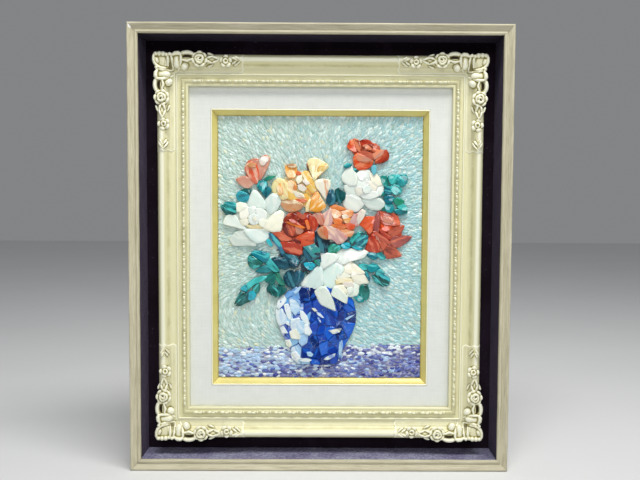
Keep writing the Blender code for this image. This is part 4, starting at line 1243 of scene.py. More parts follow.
# %% Stones of each bloom and spray: tint, lift in mm, corners x, z in tenths of the unit
STONES_OF = {
    "carnelian_rose_top": (
        ("flame", 0.6, [99, 385, 112, 409, 126, 411, 137, 364, 114, 371]),
        ("deep", 0.8, [123, 415, 143, 412, 153, 388, 149, 366, 132, 363]),
        ("red", 0.2, [146, 405, 165, 414, 186, 409, 200, 393, 180, 385, 156, 388]),
        ("rosy", 0.6, [183, 396, 206, 394, 223, 387, 223, 369, 202, 364, 182, 379]),
        ("red", 0.4, [214, 349, 247, 375, 259, 356, 255, 336, 229, 324, 207, 325]),
        ("blush", 1.6, [193, 357, 223, 372, 242, 374, 234, 354, 205, 337]),
        ("rosy", 2.0, [143, 366, 172, 370, 202, 355, 202, 336, 172, 343, 154, 352]),
        ("maroon", 2.6, [159, 390, 182, 396, 199, 382, 187, 369, 165, 369]),
        ("blush", 3.6, [165, 390, 179, 394, 182, 379, 170, 373]),
        ("flame", 1.8, [125, 343, 141, 361, 169, 349, 197, 336, 192, 313, 169, 301, 143, 299, 130, 313]),
        ("blush", 3.4, [131, 346, 143, 359, 169, 348, 194, 335, 172, 328, 142, 331]),
    ),
    "white_rose_right": (
        ("white", 0.4, [83, 275, 97, 298, 116, 310, 133, 289, 139, 265, 135, 241, 109, 238, 86, 256]),
        ("white", 0.2, [130, 283, 154, 297, 184, 297, 196, 277, 185, 256, 154, 256]),
        ("cream", 0.6, [184, 286, 210, 285, 228, 265, 235, 244, 215, 235, 194, 256]),
        ("white", 0.2, [203, 241, 235, 247, 242, 223, 230, 202, 206, 208]),
        ("white", 0.6, [91, 237, 121, 244, 142, 235, 155, 205, 131, 189, 100, 198]),
        ("white", 0.0, [85, 201, 118, 204, 155, 189, 164, 168, 143, 144, 113, 142, 92, 162]),
        ("cool", 1.0, [158, 186, 191, 191, 225, 191, 243, 175, 240, 155, 216, 146, 184, 153]),
        ("white", 2.0, [127, 247, 148, 265, 178, 265, 185, 241, 155, 226, 132, 229]),
        ("cream", 2.4, [172, 256, 200, 256, 218, 238, 209, 214, 185, 217, 173, 238]),
        ("cream", 2.8, [130, 229, 151, 236, 167, 217, 158, 199, 137, 205]),
        ("white", 3.2, [149, 208, 173, 220, 212, 217, 221, 199, 191, 188, 161, 191]),
        ("white", 4.8, [158, 230, 179, 241, 197, 226, 185, 209, 164, 212]),
    ),
    "leaves_right": (
        ("jade", 0.0, [228, 268, 237, 279, 251, 276, 259, 241, 248, 234, 233, 250]),
        ("pale_teal", 1.4, [255, 274, 277, 281, 292, 276, 287, 249, 266, 244]),
        ("teal", 0.8, [289, 279, 323, 283, 332, 266, 325, 246, 309, 236, 291, 248]),
        ("bottle", 0.2, [272, 250, 297, 252, 309, 239, 294, 231, 276, 235]),
        ("sea", 0.6, [241, 228, 260, 238, 279, 217, 264, 204, 246, 208]),
        ("pale_teal", 1.6, [265, 238, 288, 241, 310, 227, 303, 210, 282, 205, 268, 220]),
        ("jade", 0.0, [224, 207, 239, 219, 247, 205, 234, 197]),
        ("sea", 1.2, [242, 199, 264, 204, 280, 196, 275, 178, 252, 171, 243, 182]),
        ("moss", 0.8, [275, 190, 297, 195, 319, 181, 313, 166, 290, 163]),
        ("teal", 1.8, [249, 172, 270, 175, 281, 154, 271, 137, 252, 140, 245, 157]),
        ("pale_teal", 2.2, [291, 160, 313, 174, 330, 157, 328, 145, 304, 148]),
        ("teal", 1.2, [283, 148, 304, 151, 330, 145, 328, 133, 304, 130, 287, 134]),
        ("jade", 0.0, [229, 152, 246, 161, 254, 142, 236, 143]),
    ),
    "leaves_under_carnelian": (
        ("teal", 0.0, [88, 313, 102, 324, 118, 320, 116, 312, 97, 304]),
        ("bottle", 0.2, [125, 304, 142, 305, 155, 301, 139, 284, 130, 291]),
        ("mist", 1.4, [191, 310, 202, 317, 212, 313, 211, 289, 201, 278, 193, 295]),
    ),
    "dark_leaves_top": (
        ("slate", 0.6, [22, 178, 33, 219, 47, 224, 59, 192, 56, 172, 36, 166]),
        ("bottle", 0.2, [57, 221, 70, 229, 95, 213, 93, 189, 76, 172, 60, 183]),
    ),
    "carnelian_bud": (
        ("blush", 0.4, [-236, 326, -221, 344, -205, 350, -191, 338, -198, 310, -213, 282,
            -227, 259, -238, 285]),
        ("milk", 1.8, [-232, 335, -218, 346, -199, 346, -196, 332, -213, 313, -227, 315]),
        ("flame", 2.2, [-283, 297, -277, 315, -263, 325, -246, 319, -235, 300, -231, 277,
            -241, 246, -263, 257]),
        ("bark_gold", 4.4, [-277, 310, -270, 321, -260, 324, -246, 319, -243, 307, -260, 304]),
        ("blush", 0.0, [-318, 260, -302, 269, -279, 273, -259, 259, -254, 245, -271, 228,
            -288, 231, -306, 243]),
    ),
    "leaf_by_bud": (
        ("teal", 0.6, [-240, 237, -230, 255, -210, 258, -200, 241, -204, 224, -216, 213, -232, 221]),
        ("sea", 1.8, [-218, 227, -199, 233, -184, 224, -191, 208, -204, 191, -221, 208]),
        ("moss", 0.0, [-218, 259, -200, 272, -168, 275, -179, 265, -204, 255]),
    ),
    "leaf_upper_left": (
        ("bottle", 0.0, [-303, 218, -288, 224, -261, 222, -267, 203, -288, 204]),
        ("lagoon", 1.2, [-317, 203, -306, 215, -288, 211, -271, 202, -273, 185, -288, 172,
            -306, 177, -316, 190]),
    ),
    "leaf_far_left": (
        ("bottle", 0.0, [-377, 160, -367, 162, -346, 146, -320, 136, -331, 124, -349, 121, -369, 140]),
        ("pale_teal", 1.4, [-372, 160, -357, 169, -335, 149, -319, 142, -323, 135, -346, 142]),
        ("teal", 2.0, [-364, 171, -348, 176, -321, 171, -319, 150, -332, 147, -350, 160]),
    ),
    "white_rose_left": (
        ("white", 0.2, [-279, 159, -268, 195, -254, 218, -238, 214, -221, 192, -206, 167,
            -210, 151, -246, 155]),
        ("cool", 0.4, [-209, 177, -197, 198, -177, 206, -153, 198, -152, 172, -165, 147,
            -188, 130, -204, 149]),
        ("cream", 0.4, [-319, 168, -304, 174, -284, 171, -277, 157, -296, 140, -316, 138]),
        ("white", 0.6, [-366, 90, -357, 116, -343, 129, -326, 128, -307, 101, -274, 68, -307, 76, -332, 83]),
        # painted shade: this low petal takes the shaded copy of white
        ("white_in_shade", -0.6, [-340, 34, -321, 57, -296, 68, -274, 62, -247, 18, -250, 9, -288, 11, -327, 9]),
        ("cool", 0.6, [-288, 68, -252, 75, -210, 72, -194, 57, -199, 39, -218, 23, -240, 20, -263, 34]),
        ("cream", 1.2, [-215, 79, -193, 110, -171, 134, -153, 140, -139, 133, -142, 96, -151, 66, -182, 65]),
        ("cream", 1.6, [-306, 132, -296, 153, -274, 157, -264, 135, -279, 112, -302, 110]),
        ("white", 2.0, [-274, 154, -247, 158, -238, 138, -257, 121, -272, 132]),
        ("white", 2.4, [-245, 149, -220, 150, -203, 135, -206, 110, -227, 106, -240, 127]),
        ("cream", 2.6, [-306, 105, -282, 118, -268, 99, -278, 85, -300, 89]),
        ("cream", 3.0, [-235, 110, -207, 111, -197, 96, -208, 79, -229, 83]),
        ("butter", 2.2, [-282, 86, -243, 90, -214, 84, -218, 74, -260, 73]),
        ("white", 4.2, [-270, 121, -249, 131, -229, 118, -232, 95, -254, 87, -271, 101]),
        ("cream", 5.4, [-257, 118, -243, 121, -238, 104, -252, 99]),
    ),
    "amber_rose": (
        ("butter", 0.4, [-184, 224, -177, 251, -160, 262, -141, 259, -125, 241, -124, 193,
            -143, 187, -164, 193]),
        ("honey", 2.8, [-166, 227, -152, 247, -141, 225, -145, 202, -157, 202]),
        ("honey", 0.4, [-132, 310, -121, 316, -94, 317, -90, 298, -96, 268, -121, 268, -132, 288]),
        ("tan", 2.4, [-125, 316, -107, 321, -90, 313, -94, 306, -121, 306]),
        ("flame", 1.2, [-96, 285, -85, 294, -73, 286, -81, 273]),
        ("gold", 0.8, [-73, 283, -55, 293, -39, 286, -25, 261, -20, 239, -38, 240, -60, 264]),
        ("cream", 2.6, [-93, 259, -85, 276, -70, 275, -70, 255, -85, 243]),
        ("milk", 3.2, [-69, 254, -56, 265, -38, 246, -52, 239]),
        ("honey", 1.6, [-134, 247, -110, 257, -92, 244, -90, 218, -111, 216, -131, 227]),
        ("orange", 3.2, [-109, 239, -96, 243, -89, 222, -100, 221]),
        ("milk", 4.0, [-86, 239, -67, 243, -50, 226, -64, 215, -82, 223]),
        ("gold", 1.8, [-53, 243, -24, 240, -16, 217, -38, 202, -56, 215]),
        ("cream", 2.4, [-117, 211, -99, 218, -67, 207, -61, 193, -88, 193, -111, 200]),
        ("gold", 0.8, [-121, 227, -85, 200, -40, 211, -42, 172, -60, 158, -90, 178, -121, 186]),
        ("flame", 2.4, [-95, 186, -71, 187, -50, 183, -60, 174, -78, 174]),
        ("tan", 1.4, [-154, 175, -138, 184, -110, 187, -83, 178, -64, 164, -79, 147, -104, 139, -131, 144]),
        ("butter", 1.0, [-55, 140, -55, 164, -40, 189, -31, 178, -35, 143]),
        ("honey", 2.2, [-41, 146, -35, 179, -22, 209, -8, 212, 4, 189, 20, 164, 16, 152, -9, 140]),
        ("cream", 0.6, [-21, 255, 6, 262, 34, 258, 37, 240, 25, 205, 19, 188, 0, 214, -18, 237]),
    ),
    "amber_petal": (
        ("bark", 0.0, [-51, 324, -44, 312, -32, 282, -22, 256, -30, 260, -43, 288, -51, 309]),
        ("butter", 0.8, [-47, 327, -36, 338, -15, 341, 28, 316, 24, 303, 0, 282, -24, 257, -38, 294]),
        ("gold", 2.2, [-12, 294, -6, 312, 28, 315, 23, 302, 0, 282, -16, 267]),
    ),
    "red_rose_middle": (
        ("deep", 0.4, [-143, 105, -120, 131, -100, 137, -85, 128, -81, 110, -100, 102, -122, 106, -137, 93]),
        ("rosy", 1.0, [-93, 138, -79, 138, -67, 127, -55, 131, -56, 114, -67, 110, -83, 119]),
        ("red", 0.6, [-67, 112, -57, 132, -42, 134, -25, 125, -10, 106, -8, 91, -19, 70, -32, 63]),
        ("orange", 2.4, [-58, 104, -46, 107, -37, 75, -48, 70]),
        ("maroon", 0.8, [-143, 91, -133, 100, -120, 87, -115, 66, -119, 45, -133, 57, -141, 75]),
        ("rosy", 2.0, [-121, 91, -102, 92, -92, 71, -99, 49, -114, 49, -120, 70]),
        ("blush", 2.6, [-95, 87, -75, 86, -62, 67, -75, 53, -92, 57]),
        ("orange", 3.6, [-129, 99, -111, 103, -85, 95, -57, 79, -67, 74, -91, 84, -113, 90]),
        ("red", 4.4, [-122, 110, -103, 111, -81, 97, -63, 81, -83, 87, -108, 99]),
        ("flame", 1.2, [-88, 42, -67, 53, -46, 62, -24, 61, -22, 38, -27, 16, -58, 6, -72, 16]),
        ("rosy", 0.8, [-185, 60, -166, 63, -142, 58, -124, 45, -106, 35, -122, 28, -146, 26, -160, 41]),
        ("red", 0.2, [-149, 23, -122, 22, -93, 26, -72, 17, -70, -4, -72, -28, -123, -17, -139, -2]),
        ("deep", 1.6, [-122, 29, -91, 40, -74, 27, -75, 18, -97, 22]),
    ),
    "coral_rose": (
        ("blush", 0.4, [-35, 124, -14, 136, 1, 136, 12, 125, 18, 104, 8, 87, -9, 97, -25, 115]),
        ("lilac", 0.8, [6, 126, 28, 142, 39, 155, 44, 131, 47, 106, 41, 87, 16, 85, 10, 107]),
        ("orange", 0.6, [35, 157, 56, 167, 84, 158, 97, 149, 77, 146, 54, 149]),
        ("apricot", 1.6, [41, 150, 67, 151, 84, 135, 74, 120, 53, 113, 44, 129]),
        ("apricot", 1.0, [74, 142, 102, 146, 124, 145, 123, 126, 106, 115, 90, 126]),
        ("cream", 3.2, [82, 127, 103, 130, 110, 117, 98, 110, 85, 114]),
        ("orange", 2.4, [45, 111, 67, 118, 85, 111, 82, 95, 56, 93]),
        ("honey", 2.2, [85, 111, 106, 116, 129, 114, 120, 100, 98, 95]),
        ("orange", 3.0, [37, 88, 63, 95, 87, 93, 100, 80, 82, 70, 61, 75]),
        ("flame", 2.6, [93, 94, 115, 97, 133, 89, 128, 75, 106, 70]),
        ("lilac", 0.8, [111, 99, 122, 121, 134, 129, 146, 136, 142, 107, 148, 86, 129, 85, 117, 91]),
        ("milk", 0.4, [138, 107, 145, 135, 159, 148, 173, 140, 167, 120, 153, 100, 145, 90]),
        ("apricot", 1.8, [78, 69, 102, 73, 129, 65, 120, 46, 98, 46, 85, 58]),
        ("tan", 1.4, [-16, 61, 1, 80, 20, 84, 31, 61, 28, 35, 6, 41]),
        ("lilac", 2.2, [19, 85, 42, 87, 65, 75, 104, 43, 80, 21, 64, 19, 50, 33, 26, 38]),
    ),
    "red_rose_right": (
        ("flame", 0.6, [150, 91, 164, 113, 174, 120, 212, 120, 201, 95, 198, 69, 187, 57, 163, 83]),
        ("plum", 1.6, [209, 124, 221, 141, 229, 126, 225, 91, 223, 65, 209, 65, 200, 81, 203, 99]),
        ("rosy", 0.4, [223, 139, 242, 142, 283, 132, 295, 120, 302, 91, 275, 88, 242, 92, 229, 108]),
        ("blush", 2.4, [237, 120, 263, 123, 280, 108, 272, 95, 242, 99]),
        ("flame", 1.6, [231, 91, 255, 92, 277, 87, 263, 74, 249, 64, 233, 74]),
        ("rosy", 1.0, [258, 71, 284, 82, 318, 89, 316, 75, 305, 58, 280, 45, 261, 50]),
        ("plum", 0.4, [269, 42, 294, 47, 323, 49, 348, 45, 332, 27, 305, 8, 284, 4, 271, 19]),
        ("red", 3.4, [225, 71, 232, 74, 256, 55, 274, 44, 268, 33, 250, 37, 233, 53]),
        ("rosy", 2.6, [200, 65, 214, 65, 244, 45, 268, 25, 264, 16, 242, 25, 217, 43]),
        ("rosy", 1.4, [221, 44, 243, 27, 259, 15, 253, -5, 237, -5, 225, 17]),
        ("blush", 1.0, [210, 53, 222, 40, 240, -1, 237, -10, 223, -9, 215, 25]),
        ("red", 1.8, [174, -4, 185, 37, 197, 55, 210, 54, 220, 37, 227, 15, 225, -14, 192, -13]),
        ("rosy", 0.6, [244, -4, 260, 14, 273, 14, 289, -1, 308, -22, 307, -29, 258, -38, 246, -22]),
    ),
    "white_rose_low": (
        ("white", 0.2, [-3, -28, 3, -12, 31, -19, 61, -22, 67, -36, 53, -52, 10, -78, -1, -56]),
        ("white", 0.4, [61, -36, 72, -9, 97, -2, 180, -9, 161, -36, 113, -49, 82, -62, 66, -52]),
        ("cool", 1.6, [13, -92, 34, -65, 57, -57, 79, -62, 90, -82, 52, -145, 37, -152, 20, -144]),
        ("cream", 1.2, [86, -66, 113, -49, 130, -58, 171, -92, 154, -99, 124, -97, 92, -94]),
        ("cream", 0.8, [117, -99, 162, -95, 176, -109, 185, -125, 183, -133, 150, -137, 133, -129]),
        ("cool", 0.8, [-69, -132, -50, -109, -9, -71, 7, -77, 12, -135, -3, -150, -37, -161, -61, -153]),
        ("white", 7.4, [-19, -167, -1, -150, 20, -147, 33, -161, 51, -200, 58, -231, 53, -233, 2, -211]),
        ("white", 7.0, [44, -177, 54, -147, 69, -145, 90, -166, 105, -182, 102, -208, 94, -206, 68, -191]),
        ("white", 1.6, [101, -179, 118, -141, 130, -130, 148, -137, 151, -161, 143, -178, 119, -183]),
        ("cream", 2.8, [64, -101, 88, -93, 122, -94, 122, -108, 88, -114, 66, -115]),
        ("butter", 3.6, [61, -118, 90, -112, 125, -116, 125, -132, 91, -130, 63, -135]),
        ("milk", 4.2, [88, -128, 124, -126, 128, -148, 109, -152, 87, -139]),
        ("cream", 5.4, [59, -138, 88, -139, 105, -161, 99, -173, 78, -163, 61, -152]),
        ("white", 5.2, [101, -151, 124, -144, 128, -161, 111, -174]),
    ),
    "leaves_middle": (
        ("night", -0.6, [-23, 59, -5, 88, 16, 38, 35, 32, 29, -16, 2, -11, -17, 17]),
        ("night", -0.6, [-75, -28, -46, -24, -4, -16, 2, -53, -33, -86, -66, -82]),
        ("jade_grey", 1.2, [-63, 5, -46, 12, -17, 18, -1, 5, -1, -15, -15, -32, -30, -33, -43, -17]),
        ("sea", 1.8, [-61, -4, -46, -19, -31, -43, -41, -51, -57, -31, -64, -16]),
        ("moss", 0.8, [-25, -32, -7, -34, 1, -51, -1, -68, -15, -58, -25, -45]),
        ("lagoon", 1.6, [-61, -57, -33, -52, -17, -63, -28, -81, -41, -82, -57, -70]),
    ),
    "leaves_centre_right": (
        ("moss", 0.4, [32, 7, 47, 17, 75, 12, 77, -3, 58, -16, 32, -16]),
        ("lagoon", 1.2, [79, 14, 94, 23, 113, 20, 116, 6, 99, -2, 83, 3]),
        ("pale_teal", 1.0, [114, 31, 124, 51, 149, 63, 164, 63, 154, 51, 135, 37, 123, 19]),
        ("sea", 1.8, [134, 33, 154, 49, 182, 49, 180, 25, 162, 3, 139, 11]),
        ("bottle", 1.4, [154, 60, 172, 60, 183, 49, 168, 45, 152, 48]),
        ("lagoon", 0.6, [119, 7, 144, 16, 167, -1, 144, -7]),
    ),
    "leaf_under_red": (
        ("sea", 0.8, [178, -23, 190, -13, 211, -15, 221, -29, 215, -40, 202, -42, 187, -33]),
        ("teal", 1.2, [215, -16, 232, -16, 249, -29, 247, -40, 231, -40, 220, -31]),
    ),
    "leaves_lower_right": (
        ("pale_teal", 0.4, [146, -63, 167, -58, 185, -63, 180, -80, 162, -83]),
        ("teal", 1.4, [181, -68, 200, -57, 219, -63, 230, -77, 210, -87, 193, -90, 181, -80]),
        ("teal", 0.4, [212, -91, 228, -77, 248, -94, 237, -104, 217, -103]),
        ("sea", 1.0, [168, -94, 180, -86, 192, -112, 188, -124, 177, -107]),
        ("bottle", 0.8, [199, -102, 223, -105, 257, -121, 263, -137, 239, -144, 212, -130]),
        ("lagoon", 2.2, [227, -104, 249, -100, 268, -114, 268, -126, 250, -122]),
    ),
    "leaf_right_of_jar": (
        ("jade", 1.2, [151, -153, 162, -139, 181, -142, 189, -161, 187, -185, 176, -198,
            160, -188, 151, -171]),
        ("teal", 0.2, [129, -182, 147, -175, 164, -189, 169, -203, 150, -206, 138, -195]),
    ),
    "leaves_lower_left": (
        ("jade", 0.4, [-273, -36, -264, -26, -243, -40, -219, -58, -232, -70, -253, -80,
            -267, -72, -273, -55]),
        ("lagoon_deep", 1.0, [-261, -22, -249, -11, -221, -12, -194, -21, -197, -41, -210, -56,
            -228, -45, -250, -30]),
        ("pale_teal", 1.4, [-206, -58, -193, -39, -180, -46, -166, -66, -152, -87, -173, -90, -194, -75]),
        ("teal", 0.6, [-245, -90, -226, -73, -206, -65, -180, -86, -198, -93, -222, -96]),
        ("jade", 0.4, [-211, -112, -182, -93, -168, -100, -172, -132, -193, -135, -208, -126]),
        ("moss", 1.4, [-172, -95, -157, -95, -139, -125, -134, -142, -154, -138, -172, -114]),
        ("pale_teal", 0.6, [-278, -137, -254, -118, -221, -107, -202, -110, -221, -127, -249, -138,
            -273, -161]),
        ("lagoon", 1.4, [-303, -154, -288, -141, -275, -145, -278, -169, -298, -160]),
        ("jade", 0.0, [-256, -151, -232, -133, -228, -159, -243, -177, -256, -166]),
        ("bottle", 0.6, [-326, -214, -315, -188, -302, -164, -281, -174, -292, -192, -310, -206]),
        ("pine", 0.2, [-320, -220, -296, -194, -280, -175, -269, -193, -264, -202, -288, -214, -303, -221]),
        ("lagoon", 1.8, [-277, -173, -257, -163, -243, -179, -250, -197, -268, -200, -278, -187]),
        ("pine", 0.4, [-202, -153, -188, -135, -169, -138, -159, -159, -165, -186, -184, -177, -200, -165]),
        ("bottle", 1.0, [-163, -142, -142, -144, -127, -156, -135, -171, -156, -186, -165, -173]),
    ),
    "leaf_left_of_jar": (
        ("lagoon", 1.0, [-205, 29, -193, 35, -180, 12, -186, 5, -199, 17]),
        ("blue_grey", 0.2, [-194, 52, -179, 52, -158, 29, -147, 13, -136, -19, -148, -20, -162, 6, -182, 31]),
    ),
    "dark_leaves_left": (
        ("slate", 0.2, [-152, -24, -126, -20, -97, -29, -82, -46, -85, -67, -109, -73, -120, -49, -141, -36]),
        ("slate", 1.4, [-183, -41, -162, -34, -133, -37, -118, -54, -116, -73, -134, -81,
            -158, -72, -175, -52]),
        ("slate", 0.6, [-138, -108, -124, -90, -106, -87, -96, -102, -91, -127, -98, -149,
            -120, -146, -135, -128]),
        ("steel", 1.4, [-96, -94, -78, -87, -60, -99, -63, -117, -78, -134, -90, -148, -94, -119]),
    ),
}

# %% Lay the roses and the leaves
KINDS = {
    "carnelian_rose_top": "carnelian",
    "carnelian_bud": "coral",
    "amber_rose": "amber",
    "amber_petal": "amber",
    "white_rose_right": "shell_white",
    "white_rose_left": "shell_white",
    "white_rose_low": "shell_white",
    "red_rose_middle": "red_jasper",
    "red_rose_right": "red_jasper",
    "coral_rose": "coral",
    "dark_leaves_top": "dark_stone",
    "dark_leaves_left": "dark_stone",
    "leaves_middle": "dark_stone",
}
BED_SHARE = 0.62
COVER_SHARE = 0.42
BLOOM_SLOPE, BLOOM_TILT = 0.12, 0.13
LEAF_SLOPE, LEAF_TILT = 0.0, 0.26
covers = []
for number, (name, stones) in enumerate(STONES_OF.items()):
    heap = Heap(20 + number)
    outlines = [np.array(corners).reshape(-1, 2) * UNIT / 10 for _, _, corners in stones]
    hub = np.mean([outline.mean(axis=0) for outline in outlines], axis=0)
    leaf = name.startswith(("leaf", "leaves", "dark"))
    if not leaf and len(stones) > 4:
        reach = BED_SHARE * np.ptp(np.concatenate(outlines), axis=0) / 2
        bed = [hub + reach * (math.cos(k * math.pi / 4), math.sin(k * math.pi / 4)) for k in range(8)]
        # painted shade: the bed takes 0.8 of the first petal's tint, so the gaps between petals look shaded
        shade = [channel * 0.8 for channel in TINTS[stones[0][0]][:3]]
        heap.plate(np.array(bed) * 10 / UNIT, shade, -1.4, hub, 0.0, 0.0)
    slope, tilt = (LEAF_SLOPE, LEAF_TILT) if leaf else (BLOOM_SLOPE, BLOOM_TILT)
    for tint, lift, corners in stones:
        heap.plate(corners, TINTS[tint], lift, hub, slope, tilt)
    covers += [(*outline.mean(axis=0), COVER_SHARE * np.ptp(outline, axis=0).min()) for outline in outlines]
    kind = KINDS.get(name, "malachite")
    settle(heap.piece(f"{name}_stones", kind), kind, name)
covers = np.array(covers)
print(len(covers), "stones in the bouquet")

# %% [markdown]
# ## The jar
#
# The jar is a mosaic of flat shards, pale on the lit side and deep lapis on the other. A Voronoi
# pattern gives such shards: each seed keeps the area that is closer to it than to any other seed.
# Here each cell starts as the jar's whole outline and is cut by the line half way to each
# neighbour. The shards follow the jar's swelling, so the row of highlights makes it look round.

# %% Outline of the jar: height, left edge, right edge, and where the pale part ends
JAR_ROWS = np.array(
    [
        (-14.6, -9.7, 7.5, -8.7),
        (-17.2, -13.1, 10.9, -8.1),
        (-20.4, -15.3, 13.1, -6.5),
        (-24.4, -16.2, 14.0, -4.3),
        (-28.4, -16.1, 13.9, -3.5),
        (-32.4, -14.8, 12.6, -4.7),
        (-36.4, -12.5, 10.3, -7.1),
        (-40.6, -10.6, 8.4, -6.1),
        (-44.6, -8.7, 6.5, -4.5),
    ]
)
JAR_SWELL = 6.0


def jar_row(z):
    """Left edge, right edge and pale edge of the jar at a height."""
    return [np.interp(-np.asarray(z), -JAR_ROWS[:, 0], JAR_ROWS[:, k]) for k in (1, 2, 3)]


def jar_height(px, pz):
    """How far the jar swells at a place, in mm."""
    left, right, _ = jar_row(np.asarray(pz) / UNIT)
    middle, half = (left + right) / 2, (right - left) / 2
    across = (np.asarray(px) / UNIT - middle) / half
    return JAR_SWELL * np.sqrt(np.clip(1 - across**2, 0.0, 1))


# %% Cut the outline into shards
def keep_nearer(cell, seed, other):
    """The part of a cell that is nearer to its seed than to another one."""
    middle = (seed + other) / 2
    way = other - seed
    side = (cell - middle) @ way
    kept = []
    for k in range(len(cell)):
        m = (k + 1) % len(cell)
        if side[k] <= 0:
            kept.append(cell[k])
        if side[k] * side[m] < 0:
            kept.append(cell[k] + (cell[m] - cell[k]) * side[k] / (side[k] - side[m]))
    return np.array(kept)


SHARD_STRETCH = np.array([1.0, 0.66])


def jar_seeds(random, spacing):
    """Shaken rows of seeds inside the jar, with every second row shifted."""
    seeds = []
    for row, z in enumerate(np.arange(-43.6, -14.0, spacing * 1.25)):
        left, right, _ = jar_row(z)
        for x in np.arange(left + 0.6 + (row % 2) * spacing / 2, right, spacing):
            shift = random.uniform(-0.46, 0.46, 2) * [spacing, spacing * 1.3]
            seeds.append((np.array([x, z]) + shift) * SHARD_STRETCH)
    return seeds


def leaning(middle, lean):
    """The swelling of the jar, plus the lean of one shard about its middle."""

    def crown(px, pz):
        return jar_height(px, pz) + lean[0] * (px - middle[0]) + lean[1] * (pz - middle[1])

    return crown


JAR_SHARD = 3.4
BODY_THICKNESS = 0.5
SHARD_THICKNESS = 1.6
FRAGMENT_THICKNESS = 3.3
LIT_BLUES = (paint(90, 160, 222), paint(140, 190, 226), paint(18, 84, 190), paint(50, 128, 212))
LAPIS = (paint(8, 64, 172), paint(2, 38, 124), paint(24, 96, 206), paint(0, 22, 86), paint(4, 50, 150))
JAR_FRAGMENTS = (
    ("chalk", [-163, -223, -158, -200, -141, -182, -128, -186, -130, -203, -141, -217, -155, -230]),
    ("chalk", [-166, -240, -144, -234, -131, -262, -126, -282, -143, -290, -157, -292, -164, -268]),
    ("chalk", [-135, -220, -120, -215, -109, -239, -109, -273, -120, -268, -131, -239]),
    ("ice", [-114, -197, -93, -193, -79, -205, -77, -234, -93, -253, -109, -234]),
    ("chalk", [-75, -239, -63, -242, -46, -262, -41, -290, -57, -284, -71, -265]),
    ("chalk", [-107, -276, -79, -267, -72, -296, -73, -324, -101, -318, -110, -299]),
    ("ice", [-88, -279, -62, -279, -59, -321, -82, -327]),
    ("chalk", [-58, -291, -46, -290, -30, -318, -40, -331, -57, -324]),
    ("ivory", [-114, -321, -93, -307, -79, -324, -76, -346, -107, -344]),
    ("chalk", [-150, -307, -138, -299, -129, -313, -122, -324, -143, -325]),
    ("chalk", [-130, -279, -117, -279, -115, -296, -127, -290]),
    ("ivory", [-131, -355, -115, -352, -107, -369, -115, -381, -126, -372]),
    ("chalk", [-108, -406, -90, -397, -74, -417, -87, -437, -104, -423]),
    ("chalk", [-74, -421, -48, -421, -32, -427, -42, -434, -70, -433]),
    ("ice", [-48, -397, -34, -397, -24, -406, -31, -414, -45, -410]),
    ("chalk", [17, -425, 28, -415, 60, -402, 56, -415, 34, -426]),
    ("ice", [74, -417, 75, -366, 86, -354, 89, -377, 84, -414]),
    ("ivory", [-30, -228, -18, -228, -8, -239, -21, -239]),
    ("chalk", [-11, -243, 2, -247, 16, -263, 10, -264, -7, -253]),
    ("chalk", [-8, -266, -2, -264, 6, -280, 2, -282]),
    ("ivory", [36, -313, 64, -308, 83, -306, 75, -320, 53, -326]),
    ("ice", [98, -268, 117, -258, 133, -254, 119, -264, 105, -272]),
    ("ice", [-99, -166, -80, -148, -71, -148, -82, -166, -93, -172]),
    ("sky", [-131, -178, -116, -162, -98, -166, -105, -180, -121, -187, -128, -189]),
    ("sky", [-116, -194, -110, -187, -93, -186, -77, -200, -75, -214, -88, -197]),
)

# %% Lay the shards, and larger pale fragments on top of them
heaps = {"jar_pale_stones": Heap(81), "jar_lapis": Heap(82)}
outline = np.concatenate([JAR_ROWS[:, [1, 0]], JAR_ROWS[::-1, [2, 0]]])
middle = outline.mean(axis=0)
# the body of the jar, which shows between the shards
heaps["jar_lapis"].add(outline * UNIT, middle * UNIT, BODY_THICKNESS, jar_height, paint(22, 58, 148), 90)

random = np.random.default_rng(83)
seeds = jar_seeds(random, JAR_SHARD)
for seed in seeds:
    cell = outline * SHARD_STRETCH
    for other in seeds:
        if other is not seed and np.hypot(*(other - seed)) < 4 * JAR_SHARD and len(cell):
            cell = keep_nearer(cell, seed, other)
    if len(cell) < 3:
        continue
    cell = cell / SHARD_STRETCH
    middle = cell.mean(axis=0)
    pale = middle[0] < jar_row(middle[1])[2]
    blues = LIT_BLUES if pale else LAPIS
    tint = blues[random.integers(len(blues))]
    shrunk = middle + (rounded(cell, 1, 0.07) - middle) * 0.985
    middle = middle * UNIT
    crown = leaning(middle, random.uniform(-0.2, 0.2, 2))
    target = heaps["jar_pale_stones" if pale else "jar_lapis"]
    target.add(shrunk * UNIT, middle, SHARD_THICKNESS, crown, tint, random.uniform(0, 180))
for tint, corners in JAR_FRAGMENTS:
    outline = rounded(np.array(corners).reshape(-1, 2) * UNIT / 10, 2, 0.1)
    middle = outline.mean(axis=0)
    outline = middle + (outline - middle) * 1.2
    pale = middle[0] / UNIT < jar_row(middle[1] / UNIT)[2] + 1
    crown = leaning(middle, random.uniform(-0.1, 0.1, 2))
    target = heaps["jar_pale_stones" if pale else "jar_lapis"]
    target.add(outline, middle, FRAGMENT_THICKNESS, crown, TINTS[tint], random.uniform(0, 180))
for name, heap in heaps.items():
    kind = "pale_lapis" if name == "jar_pale_stones" else "lapis"
    settle(heap.piece(f"{name}_shards", kind), kind, name)

# %% [markdown]
# ## Crushed stone
#
# Behind the flowers lie thousands of chips of pale green stone, laid like brush strokes that
# radiate from the bouquet, and rows of small violet and white chips make the table. A geometry tree
# lays them: numpy says where each chip goes, how it turns and what tint it has, and the tree puts
# one of a few cracked shapes there. Chips that a flower or the jar would hide are left out.


# %% Cracked shapes
CHIP_KINDS = 6


